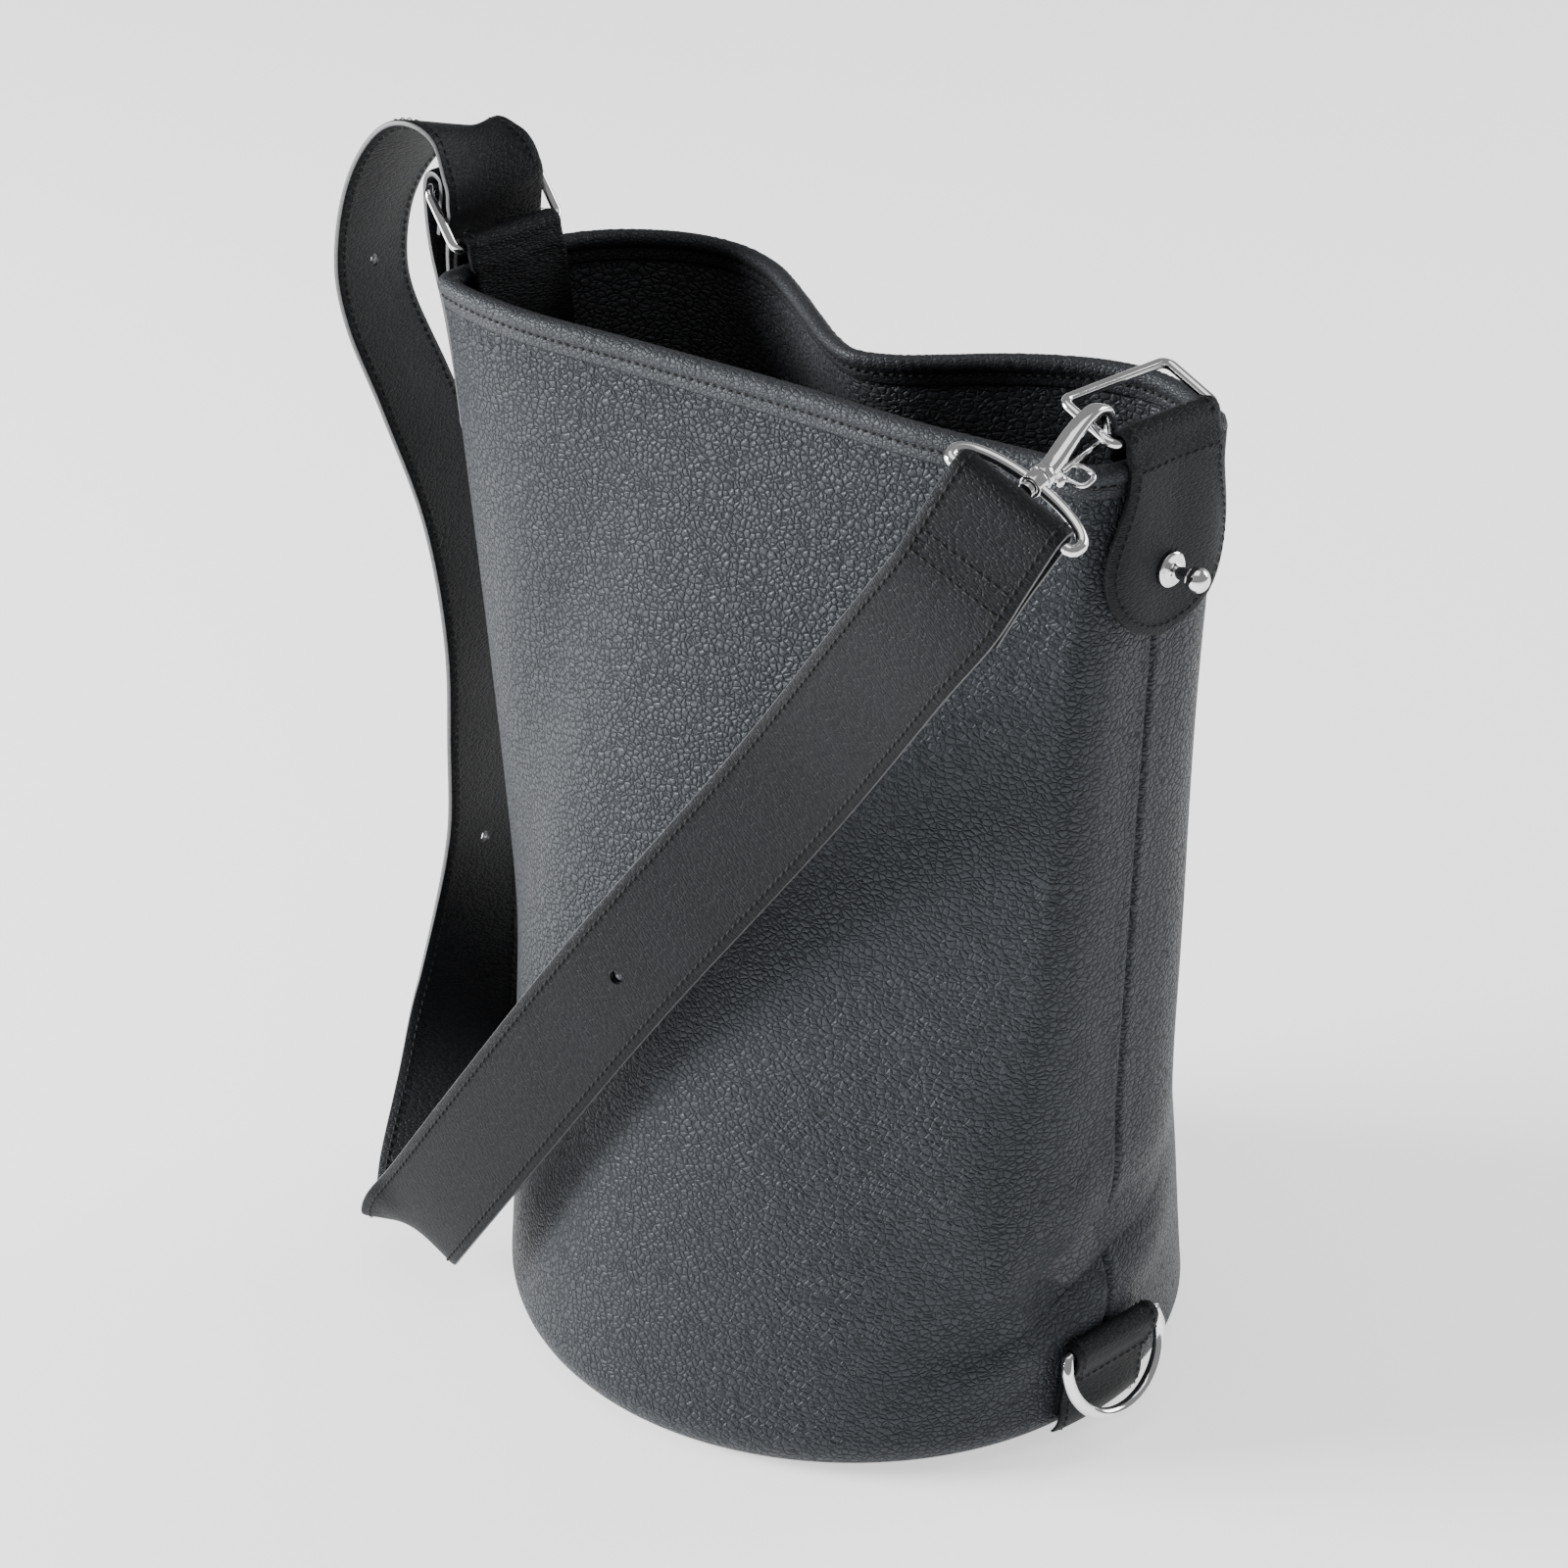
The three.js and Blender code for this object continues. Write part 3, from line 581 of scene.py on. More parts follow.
def wrinkles(u, z):
    """The fold across the right seam's foot, fine creases beside it, and puckers under the rim."""
    off = signed_turn(u)
    slope = np.where(off < 0, 430.0, 150.0)
    valley = 76.0 + slope * off
    reach = np.where(off < 0, bump(off, 0.0, 0.075), bump(off, 0.0, 0.045))
    fold = -4.6 * np.exp(-(((z - valley) / 10.0) ** 2)) * reach
    fold = fold + 3.2 * np.exp(-(((z - valley + 24.0) / 13.0) ** 2)) * reach
    fold = fold + 1.6 * np.exp(-(((z - valley - 26.0) / 16.0) ** 2)) * reach
    creases = 0.55 * np.sin(2 * np.pi * (z - valley) / 6.5 + 9.0 * np.sin(off * 40.0))
    creases = creases * np.exp(-(((z - valley) / 15.0) ** 2)) * reach * smoothstep(np.abs(off), 0.006, 0.02)
    strength = smoothstep(z, 22, 46)
    pucker = 0.30 * np.sin(2 * np.pi * (u * 168 + 0.35 * np.sin(u * 90)))
    pucker = pucker * np.exp(-((np.minimum(z - 341.0, 0.0) / 8.0) ** 2)) * smoothstep(z, 300, 335)
    return (fold + creases) * strength + pucker


def seam_groove(u, z):
    """The side seams: the two panels turn in to each other, with a low shoulder beside the groove."""
    total = np.zeros(np.broadcast(u, z).shape)
    for turn in (0.0, 0.5):
        along = np.abs(signed_turn(u - turn) * SEAM_GIRTH)
        total = total - SEAM_DEPTH * np.exp(-(along / 0.7) ** 1.5) + 0.22 * bump(along, 2.2, 1.6)
    return total * smoothstep(z, 14, 24)


def shell_height(row_count):
    """Heights up the wall with their inset at the lower fillet, from the base up to the rim."""
    rows = []
    for k in range(9):
        turn = k / 9 * math.pi / 2
        rows.append((BASE_FILLET * (1 - math.cos(turn)), BASE_FILLET * (1 - math.sin(turn))))
    for k in range(row_count + 1):
        rows.append((BASE_FILLET + (SHELL_TOP - BASE_FILLET) * k / row_count, 0.0))
    heights, insets = np.array(rows).T
    return heights[:, None], insets[:, None]


def seam_columns(count):
    """Turns round the wall, closer together at the two side seams."""
    even = np.arange(count) / count
    near = np.linspace(-0.008, 0.008, 23)
    close = np.concatenate([near, 0.5 + near])
    kept = even[seam_distance(even) > 0.0085]
    return np.sort(np.mod(np.concatenate([kept, close]), 1.0))


def make_shell():
    z, inset = shell_height(190)
    turns = seam_columns(420)
    count = len(turns)
    u = turns[None, :]
    outside = wall(u, z, sag(u, z) + wrinkles(u, z) + seam_groove(u, z) - inset)
    inside = wall(u, z, -inset - SHELL + sag(u, z))
    inside[..., 2] = np.maximum(z, SHELL)
    loops = [outside[0] * share for share in (0.35, 0.7, 0.9)]
    loops.extend(outside)
    lip = (outside[-1] + inside[-1]) / 2
    lip[:, 2] += 0.5
    loops.append(lip)
    loops.extend(inside[::-1])
    faces = grid_faces(len(loops), count, wrap_columns=True)
    last = (len(loops) - 1) * count
    centre = len(loops) * count
    for k in range(count):
        n = (k + 1) % count
        faces.append((centre, n, k))
        faces.append((centre + 1, last + k, last + n))
    verts = np.vstack([*loops, [[0, 0, 0.0]], [[0, 0, SHELL]]])
    return mesh_object("body_leather", verts, outward(verts, faces))


def make_lining():
    z, inset = shell_height(60)
    z = np.maximum(z, 3.0)
    u = np.arange(220)[None, :] / 220
    ripple = 0.5 * np.sin(2 * np.pi * (u * 7 + z / 180))
    soft = sag(u, z) + ripple * smoothstep(z, 20, 90) * (1 - smoothstep(z, 280, 330))
    outer = wall(u, z, -inset - LINING_DEPTH + soft)
    inner = wall(u, z, -inset - LINING_DEPTH - LINING_THICK + soft)
    return loft("lining", np.concatenate([outer, inner[::-1]]), ring=True)


# ---------- rim binding ----------
def make_binding():
    """A rolled band of leather over the rim, gathered in small creases across it."""
    rows = [(0.3, 342.0), (0.5, 342.6), (0.65, 344.2), (0.62, 345.3), (0.4, 345.9), (0.62, 346.5),
            (1.25, 347.2), (1.75, 348.4), (1.8, 349.7), (1.35, 350.9), (0.4, 351.75), (-0.5, 352.1),
            (-1.3, 352.2), (-2.1, 352.1), (-3.0, 351.75), (-3.95, 350.9), (-4.4, 349.7), (-4.35, 348.4),
            (-3.85, 347.2), (-3.3, 346.5),
            (-3.15, 345.9), (-3.35, 345.3), (-3.4, 344.2), (-3.3, 342.6), (-3.1, 342.0), (-2.9, 342.4),
            (-2.9, 346.6), (0.2, 346.6), (0.2, 342.4)]
    turns = np.arange(1100) / 1100
    uneven = 0.5 + 0.5 * np.sin(2 * np.pi * turns * 31 + 2.0 * np.sin(turns * 83))
    gather = 0.10 * uneven * np.sin(2 * np.pi * (turns * 190 + 1.1 * np.sin(turns * 61)))
    clear = smoothstep(seam_distance(turns), 0.0, 0.03)
    sections = []
    for out, z in rows:
        rolled = z > 346.8 and (out > 0.5 or out < -3.1 or z > 350.5)
        crease = gather + 0.05 * np.sin(2 * np.pi * turns * 371 + z)
        swell = crease * clear * (1.0 if rolled else 0.0)
        place = wall(turns, z, out + swell * ((out + 1.3) / 3.1))
        place[..., 2] = np.minimum(z + swell * 0.8 * (z > 350), RIM_Z + 0.25)
        sections.append(place)
    return loft("rim_band", sections, ring=True)


# ---------- tabs, rings and studs at the two ends of the mouth ----------
class End:
    """One end of the mouth: the seam's point on the rim, with the ways outwards and along the wall."""

    def __init__(self, u, z=RIM_Z):
        self.u = u
        self.point = wall(u, z, 0)
        self.out = wall(u, z, 1) - self.point
        self.out[2] = 0
        self.along = np.array([-self.out[1], self.out[0], 0])

    def at(self, out, z, w=0.0):
        place = self.point + self.out * out + self.along * w
        return np.array([place[0], place[1], z])


RIGHT = End(0.0)
LEFT = End(0.5)


def tongue_half(z):
    centre = TONGUE_Z + FLARE
    if z < centre:
        return max(0.4, math.sqrt(max(0.0, FLARE**2 - (centre - z) ** 2)))
    return FLARE + (TAB_WIDTH / 2 - FLARE) * float(smoothstep(z, centre, RIM_Z - 6))


def tab_place(end, out, z, w):
    if z > RIM_Z:
        return end.at(out, z, w)
    girth = GIRTH_FOOT + (GIRTH_RIM - GIRTH_FOOT) * z / RIM_Z
    return wall(end.u + w / girth, z, out)


def tab_route():
    """The tab in section, as (out, height, true on the outside)."""
    centre = TONGUE_Z + FLARE
    tip = centre - FLARE * np.cos(np.linspace(0, math.pi / 2, 15))
    tip[0] += TIP_LIFT
    route = [(TONGUE_OUT, z, True) for z in tip]
    route.extend((TONGUE_OUT, z, True) for z in np.linspace(centre, 350, 22)[1:])
    shares = np.arange(1, 6) / 6
    eased = smoothstep(shares, 0, 1)
    for t, s in zip(shares, eased):
        route.append((TONGUE_OUT + (LOOP_OUT + LOOP_RADIUS - TONGUE_OUT) * s, 350 + 8 * t, True))
    for a in np.linspace(0, math.pi, 17):
        route.append((LOOP_OUT + LOOP_RADIUS * math.cos(a), LOOP_Z + LOOP_RADIUS * math.sin(a), True))
    for t, s in zip(shares, eased):
        out = LOOP_OUT - LOOP_RADIUS + (INNER_OUT - LOOP_OUT + LOOP_RADIUS) * s
        route.append((out, LOOP_Z - 7 * t, False))
    route.extend((INNER_OUT, z, False) for z in np.linspace(351, 318, 14))
    return route


def strip_sections(route, place, half_of, thickness, columns):
    """Sections of a padded leather strip with rounded edges, on a route of (out, height, outside)."""
    sections = []
    uvs = []
    run = 0.0
    shares = crowded(columns, 0.86)
    edge = np.abs(shares)
    for i, (out, z, outside) in enumerate(route):
        before = route[max(i - 1, 0)]
        after = route[min(i + 1, len(route) - 1)]
        du, dz = after[0] - before[0], after[1] - before[1]
        length = math.hypot(du, dz) or 1.0
        if i:
            run += math.hypot(out - before[0], z - before[1])
        half = half_of(z, outside)
        turned_in = PAD_EDGE * smoothstep(edge, 1 - 1.1 / max(half, 2), 1.0)
        face = thickness / 2 + PAD_CROWN * (1 - edge**2) - turned_in
        back = -thickness / 2 + 0.6 * turned_in
        ring = list(zip(half * shares, face)) + list(zip(half * shares, back))[::-1]
        sections.append([place(out + n * dz / length, z - n * du / length, w) for w, n in ring])
        uvs.extend((w, run + (STRIP_BACK_V if n < 0 else 0)) for w, n in ring)
    return np.array(sections), np.array(uvs)


def tab_half(z, outside):
    return tongue_half(z) if outside else TAB_WIDTH / 2


def make_tab(name, end):
    def place(out, z, w):
        return tab_place(end, out, z, w)

    sections, uvs = strip_sections(tab_route(), place, tab_half, TAB_SKIN, 26)
    return loft(name, sections, uvs=uvs)


def tab_stitches(end):
    """Rows round the tongue and across it at the rim, then up both edges of the loop."""
    face = TONGUE_OUT + TAB_SKIN / 2 + 0.2
    reach = LOOP_RADIUS + TAB_SKIN / 2 + 0.2
    centre = TONGUE_Z + FLARE
    heights = np.linspace(349, centre, 60)
    edge = [(STITCH_INSET - tongue_half(z), z) for z in heights]
    for a in np.linspace(math.pi, 2 * math.pi, 61)[1:-1]:
        edge.append(((FLARE - STITCH_INSET) * math.cos(a), centre + (FLARE - STITCH_INSET) * math.sin(a)))
    edge.extend((tongue_half(z) - STITCH_INSET, z) for z in heights[::-1])
    across = [(w, 349.5) for w in np.linspace(-16.5, 16.5, 20)]
    rows = []
    for line in (edge, across):
        rows.append(([tab_place(end, face, z, w) for w, z in line], [end.out] * len(line)))
    for hand, count in ((-1, 14), (1, 30)):
        loop = []
        normals = []
        for a in np.linspace(0, math.pi, 30)[:count]:
            w = hand * (TAB_WIDTH / 2 - STITCH_INSET)
            loop.append(end.at(LOOP_OUT + reach * math.cos(a), LOOP_Z + reach * math.sin(a), w))
            normals.append(end.out * math.cos(a) + np.array([0, 0, math.sin(a)]))
        rows.append((loop, normals))
    return rows


def make_tab_ring(name, end, deep):
    """A rectangle of wire with rounded corners, hung on the tab's loop."""
    bar = end.at(LOOP_OUT, LOOP_Z)
    near, far = RING_CORNER, TAB_RING_DEPTH - RING_CORNER
    side = TAB_RING_HALF - RING_CORNER
    points = []
    for w, d, start in ((side, near, -90), (side, far, 0), (-side, far, 90), (-side, near, 180)):
        for k in range(11):
            a = math.radians(start + 9 * k)
            across = end.along * (w + RING_CORNER * math.cos(a))
            points.append(bar + across + deep * (d + RING_CORNER * math.sin(a)))
    dense = []
    for a, b in zip(points, points[1:] + points[:1]):
        steps = max(int(np.linalg.norm(b - a) / 3), 1)
        dense.extend(a + (b - a) * k / steps for k in range(steps))
    return tube(name, dense, TAB_RING_WIRE, ring=True)


RIGHT_DEEP = unit([RIGHT.out[0] * -0.95, RIGHT.out[1] * -0.95, 0.36])
LEFT_DEEP = unit([LEFT.out[0] * 0.6, LEFT.out[1] * 0.6, 0.8])
STUD_FACE = TONGUE_OUT + TAB_SKIN / 2 + 2 * GAP
STUD_FOOT = [(0, 0), (5.6, 0), (5.6, 0.8), (4.9, 1.3), (2.4, 1.5), (2.1, 2.5), (2.1, 7.7), (2.8, 7.9),
             (2.8, 8.4), (2.5, 8.7)]


def stud_axis(end):
    """Where a stud stands on its tab, and the way it points."""
    foot = wall(end.u, STUD_Z, STUD_FACE)
    return foot, unit(wall(end.u, STUD_Z, STUD_FACE + 1) - foot)


def make_stud(name, end):
    ball = [(3.95 * math.sin(a), 10.5 - 3.7 * math.cos(a)) for a in np.linspace(0.9, math.pi, 20)[:-1]]
    return turned(name, rounded(STUD_FOOT, 0.2)[:-1] + ball + [(0, 14.2)], *stud_axis(end))


def make_screw(name, end):
    foot, out = stud_axis(end)
    deep = STUD_FACE - INNER_OUT + TAB_SKIN / 2
    profile = [(0, 0), (1.4, 0), (1.4, deep), (4.4, deep), (4.4, deep + 1), (3.6, deep + 1.8),
               (0, deep + 1.9)]
    return turned(name, rounded(profile, 0.2), foot - out * GAP, -out)


# ---------- strap ring and swivel hook ----------
PULL = unit([0.04, 0.965, 0.215])
HOOK_GRIP = np.array([113.5, -35.2, 361.4])
BAR_CENTRE = HOOK_GRIP - PULL * HOOK_REACH
BAR_ALONG = np.array([0.9, 0.04, -0.43])
BAR_ALONG = unit(BAR_ALONG - PULL * np.dot(BAR_ALONG, PULL))
HOOK_ROLL = math.radians(-30)
HOOK_ALONG = BAR_ALONG * math.cos(HOOK_ROLL) + np.cross(PULL, BAR_ALONG) * math.sin(HOOK_ROLL)
HOOK_UP = unit(np.cross(HOOK_ALONG, PULL))
PIVOT = (20.5, -3.4)


def ring_at(p, w):
    return BAR_CENTRE + PULL * p + BAR_ALONG * w


def hook_at(p, q, w=0.0):
    return BAR_CENTRE + PULL * p + HOOK_UP * q + HOOK_ALONG * w


def make_strap_ring():
    half = STRAP_WIDTH / 2 + 3.6
    corner = 3.4
    route = [ring_at(0, w) for w in np.linspace(-half + 2, half - 2, 24)]
    route.extend([ring_at(0.35, half - 1.0), ring_at(1.2, half - 0.35)])
    for a in np.linspace(0, math.pi, 73):
        route.append(ring_at(corner + (STRAP_RING_DEPTH - corner) * math.sin(a), half * math.cos(a)))
    route.extend([ring_at(1.2, 0.35 - half), ring_at(0.35, 1.0 - half)])
    ring = tube("strap_ring_loop", route, STRAP_RING_WIRE, ring=True, sides=24)
    boss_profile = rounded([(0, 0), (3.7, 0), (3.7, 4.8), (0, 4.8)], 0.7, 5)
    boss = turned("strap_ring_boss", boss_profile, ring_at(STRAP_RING_DEPTH - 2.4, 0), PULL)
    return join("steel_strap_ring", [ring, boss])


def squared(value, power):
    """A sine or cosine bent so that the oval it draws comes closer to a rectangle."""
    return np.sign(value) * np.abs(value) ** power


def flat_bar(name, route, wide, thick, sides=28):
    """A cast bar with an oval section, wide across the hook and thick in its plane."""
    sections = []
    count = len(route)
    for i, centre in enumerate(route):
        along = unit(route[min(i + 1, count - 1)] - route[max(i - 1, 0)])
        across = unit(HOOK_ALONG - along * np.dot(HOOK_ALONG, along))
        up = np.cross(along, across)
        t = i / (count - 1)
        cap = math.sqrt(max(1 - max(t - 0.97, 0) ** 2 / 0.0011, 0.1))
        angles = 2 * np.pi * np.arange(sides) / sides
        c, q = squared(np.cos(angles), 0.75), squared(np.sin(angles), 0.75)
        sections.append(centre + (c[:, None] * across * wide(t) + q[:, None] * up * thick(t)) * cap)
    return loft(name, np.array(sections))


def shank_width(t):
    return 3.2 - 1.0 * smoothstep(t, 0.05, 1.0)


def shank_thickness(t):
    return 2.6 - 0.9 * smoothstep(t, 0, 0.6)


def make_hook():
    post = [(0, 0), (2.5, 0), (2.5, 1.9), (1.2, 1.9), (1.2, 7.2), (3.9, 7.2), (3.9, 9.2), (3.1, 11), (0, 11)]
    crook = [(16, 0), (21, 1), (27, 3), (33, 5), (39, 6.2), (44, 6), (47.4, 3.6), (48.4, 0.6), (48.2, -2.2),
             (47.7, -4.2)]
    lug = rounded([(0, 0), (2.2, 0), (2.2, 1.3), (0, 1.3)], 0.35, 4)
    curve = list(centripetal([hook_at(p, q) for p, q in crook], 12, False))
    parts = [turned("hook_post", rounded(post, 0.35, 4), hook_at(STRAP_RING_DEPTH - 4.6, 0), PULL),
             flat_bar("hook_shank", curve, shank_width, shank_thickness)]
    for hand in (-1, 1):
        web = [hook_at(*PIVOT, hand * 2.1), hook_at(PIVOT[0], 0, hand * 1.6)]
        parts.append(turned("hook_lug", lug, hook_at(*PIVOT, hand * 1.5), HOOK_ALONG * hand, 40))
        parts.append(tube("hook_web", web, 1.8, sides=16))
    return join("steel_hook", parts)


def make_gate():
    knuckle = rounded([(0, 0), (1.9, 0), (1.9, 2.4), (0, 2.4)], 0.3)
    route = [hook_at(PIVOT[0], -3.6), hook_at(27, -3.8), hook_at(34, -4.2), hook_at(45.3, -4.9)]
    loop = []
    for a in 2 * np.pi * np.arange(72) / 72:
        c, q = squared(math.cos(a), 0.6), squared(math.sin(a), 0.6)
        loop.append(hook_at(26.5 + 3.6 * c, -5 - 1.3 * q, 4 + 4 * q))
    parts = [turned("gate_knuckle", knuckle, hook_at(*PIVOT, -1.2), HOOK_ALONG, 40),
             tube("gate_bar", centripetal(route, 8, False), 0.95, sides=18),
             tube("gate_trigger", loop, 0.8, ring=True, sides=16)]
    return join("steel_gate", parts)


# ---------- base D-ring and its tab ----------
BASE_TAB_SKIN = 1.6
BASE_TAB_HALF = TAB_WIDTH / 2 - 0.5
BASE_TAB_BEND = 3.3
DRING_HALF = 21.9
DRING_REACH = 27.0
DRING_CORNER = 5


class Foot:
    point = wall(0.0, DRING_Z, 0.0)
    out = wall(0.0, DRING_Z, 1.0) - wall(0.0, DRING_Z, 0.0)
    along = np.array([-out[1], out[0], 0])


DRING_BAR = Foot.point + Foot.out * RING_OUT


def base_tab_place(out, z, w):
    inset = 0.0
    if 0 < z < BASE_FILLET:
        inset = BASE_FILLET - math.sqrt(BASE_FILLET**2 - (BASE_FILLET - z) ** 2)
    if z > 26:
        place = Foot.point + Foot.out * (out - inset) + Foot.along * w
        return np.array([place[0], place[1], z])
    return wall(w / GIRTH_FOOT, z, out - inset)


def base_tab_route():
    """The tab from its foot up over the ring's bar and down behind, as (out, height, outside)."""
    outer = [(3.4, 4.5), (3.4, 12), (3.4, 20), (4.6, 28), (7.4, 34.5), (RING_OUT + BASE_TAB_BEND, DRING_Z)]
    smooth = centripetal([(out, z, 0) for out, z in outer], 6, False)
    route = [(p[0], p[1], True) for p in smooth[:-1]]
    for a in np.linspace(0, math.pi, 17):
        route.append((RING_OUT + BASE_TAB_BEND * math.cos(a), DRING_Z + BASE_TAB_BEND * math.sin(a), True))
    route.extend([(1.2, 34, True), (1.2, 30, True), (1.2, 20, True), (1.2, 12, True)])
    return route


def base_tab_half(z, outside):
    return BASE_TAB_HALF


def make_base_tab():
    sections, uvs = strip_sections(base_tab_route(), base_tab_place, base_tab_half, BASE_TAB_SKIN, 24)
    return loft("base_tab_leather", sections, uvs=uvs)


def base_tab_stitches():
    rows = []
    for hand in (-1, 1):
        points = []
        normals = []
        route = base_tab_route()[:-4]
        for i, (out, z, _) in enumerate(route):
            ahead = route[min(i + 1, len(route) - 1)]
            behind = route[max(i - 1, 0)]
            du, dz = ahead[0] - behind[0], ahead[1] - behind[1]
            length = math.hypot(du, dz) or 1.0
            lift = BASE_TAB_SKIN / 2 + 0.25
            w = hand * (TAB_WIDTH / 2 - STITCH_INSET)
            points.append(base_tab_place(out + lift * dz / length, z - lift * du / length, w))
            normals.append(Foot.out * dz / length + np.array([0, 0, -du / length]))
        rows.append((points, normals))
    across = [base_tab_place(3.4 + 1.05 + 1.0, 27.5, w) for w in np.linspace(-16, 16, 18)]
    rows.append((across, [Foot.out] * len(across)))
    return rows


def make_dring():
    lean = math.radians(14)
    down = Foot.out * math.sin(lean) + np.array([0, 0, -math.cos(lean)])
    route = [DRING_BAR + Foot.along * w for w in np.linspace(DRING_HALF - 1.2, 1.2 - DRING_HALF, 20)]
    for a in np.linspace(math.pi, 0, 81):
        drop = DRING_CORNER + (DRING_REACH - DRING_CORNER) * math.sin(a)
        route.append(DRING_BAR + Foot.along * DRING_HALF * math.cos(a) + down * drop)
    return tube("steel_dring", route, DRING_WIRE, ring=True, sides=24)


# ---------- strap ----------
SPAN_STEPS = 12
HOLE_RADIUS = 2.3
STUD_HOLE_RADIUS = 2.9
STRAP_STITCH_LIFT = 1.45
STRAP_DOWN = np.array([-0.4, -0.42, -0.85])
STRAP_DOWN = unit(STRAP_DOWN - BAR_ALONG * np.dot(STRAP_DOWN, BAR_ALONG))
STRAP_OUT = unit(np.cross(STRAP_DOWN, BAR_ALONG))
LEFT_ACROSS = -LEFT.along


def near_bar(down, out):
    return BAR_CENTRE + STRAP_DOWN * down + STRAP_OUT * out


def on_left(out, z):
    x, y, _ = wall(LEFT.u, min(z, RIM_Z), out)
    return np.array([x, y, z])


# The fold round the strap ring's bar, as (down the strap, outwards).
BAR_FOLD = [(36, -4.8), (27, -3.2), (17, -2.4), (8, -3.5), (0, -4.3), (-3.04, -3.04), (-4.3, 0),
            (-3.04, 3.04), (0, 4.3), (10, 3.4), (20, 1.9), (31, 0.3)]
# The free run: centre, direction across, and true where it has a stud hole.
FREE_RUN = [
    ((85, -92.5, 304), (0.89, 0, -0.44)), ((40, -87, 242), (0.82, 0.08, -0.56)),
    ((-17, -100, 162), (0.86, 0.06, -0.5), True), ((-71, -106, 83), (0.9, 0.02, -0.43)),
    ((-101, -103.5, 41), (0.95, -0.04, -0.3)), ((-111, -99, 29), (0.99, -0.08, -0.1)),
    ((-116.5, -92, 24.5), (1, -0.06, 0)), ((-120.5, -83, 26), (0.99, 0.06, 0.02)),
    ((-126, -72, 34), (0.92, 0.38, 0)), ((-135, -49, 56), (0.7, 0.71, 0)),
    ((-144, -30.5, 80), (0.34, 0.94, 0)),
    ((-151, -12.5, 130), (-0.05, 1, 0), True), ((-152.5, -8.7, 173), (-0.1, 0.99, 0)),
    ((-153, -6.7, 210), (-0.06, 0.99, 0)), ((-159, -8.5, 255), (-0.05, 0.99, 0)),
    ((-170, -16, 295), (-0.12, 0.98, 0)), ((-180, -21, 325), (-0.16, 0.98, 0)),
    ((-182, -21.5, 341), (-0.12, 0.98, -0.05), True), ((-178.5, -21, 361), (-0.08, 0.98, -0.12)),
    ((-168, -20.5, 380), (0, 0.96, -0.22)), ((-154, -20, 391.5), (0.08, 0.94, -0.3)),
    ((-142.5, -19, 392), (0.12, 0.94, -0.28)), ((-136, -16.5, 384), (0.14, 0.96, -0.2)),
    ((-134.6, -13, 374), LEFT_ACROSS),
]
# Down through the left ring to the stud, back up over the ring, and its end, as (out, height).
LEFT_WRAP = [(5.2, 364), (6.2, 354), (7.4, 338), (7.5, 314), (7.4, 298), (7.5, 292.6), (9, 291),
             (10.5, 292.6), (10.6, 298), (10.5, 314), (11.6, 334), (14.6, 354), (16.2, 366), (16.1, 375.6),
             (14.9, 378.6), (11.9, 379.9), (8.9, 378.6), (8.2, 375), (9.2, 368), (10.3, 360)]
STRAP = [(near_bar(*place), BAR_ALONG) for place in BAR_FOLD] + FREE_RUN
STRAP += [(on_left(*place), LEFT_ACROSS) for place in LEFT_WRAP]


def strap_frames():
    """Places along the strap: (centre, along, across, normal)."""
    centres = centripetal([station[0] for station in STRAP], SPAN_STEPS, False)
    sides = np.asarray([station[1] for station in STRAP], float)
    padded = np.vstack([2 * sides[0] - sides[1], sides, 2 * sides[-1] - sides[-2]])
    frames = []
    for i, centre in enumerate(centres):
        span, t = divmod(i / SPAN_STEPS, 1)
        span = int(span)
        if span == len(STRAP) - 1:
            across = sides[-1]
        else:
            p0, p1, p2, p3 = padded[span:span + 4]
            bend = (2 * p0 - 5 * p1 + 4 * p2 - p3) * t**2 + (3 * p1 - p0 - 3 * p2 + p3) * t**3
            across = 0.5 * (2 * p1 + (p2 - p0) * t + bend)
        along = unit(centres[min(i + 1, len(centres) - 1)] - centres[max(i - 1, 0)])
        across = unit(across - along * np.dot(across, along))
        frames.append((centre, along, across, np.cross(along, across)))
    return frames


FRAMES = strap_frames()
_steps = [np.linalg.norm(after[0] - before[0]) for before, after in zip(FRAMES, FRAMES[1:])]
RUN = np.concatenate([[0], np.cumsum(_steps)])


def make_ply(name, low, high, crown_side):
    """One ply of the strap, slightly crowned on its outer side, with rounded edges."""
    half = STRAP_WIDTH / 2
    places = half * crowded(20, 0.88)
    drop = 0.4 * smoothstep(np.abs(places), half - 1.3, half) - 0.12 * (1 - (places / half) ** 2)
    outer, inner = (high, low) if crown_side > 0 else (low, high)
    ring = [(w, outer - d * crown_side, crown_side) for w, d in zip(places, drop)]
    ring += [(w, inner, -crown_side) for w in places[::-1]]
    sections = []
    uvs = []
    for (centre, _, across, normal), run in zip(FRAMES, RUN):
        sections.append([centre + across * w + normal * height for w, height, _ in ring])
        uvs.extend((w, run + (PLY_BACK_V if side < 0 else 0)) for w, _, side in ring)
    return loft(name, sections, uvs=uvs)


def make_strap_core():
    """The painted edge: a flat band between the two plies, just proud of them."""
    half = STRAP_WIDTH / 2 + 0.12
    edge = [(half, 0.75), (half + 0.15, 0.4), (half + 0.18, 0), (half + 0.15, -0.4), (half, -0.75)]
    ring = [(-w, -n) for w, n in edge] + edge
    sections = [[centre + across * w + normal * n for w, n in ring] for centre, _, across, normal in FRAMES]
    return loft("strap_edge", sections)


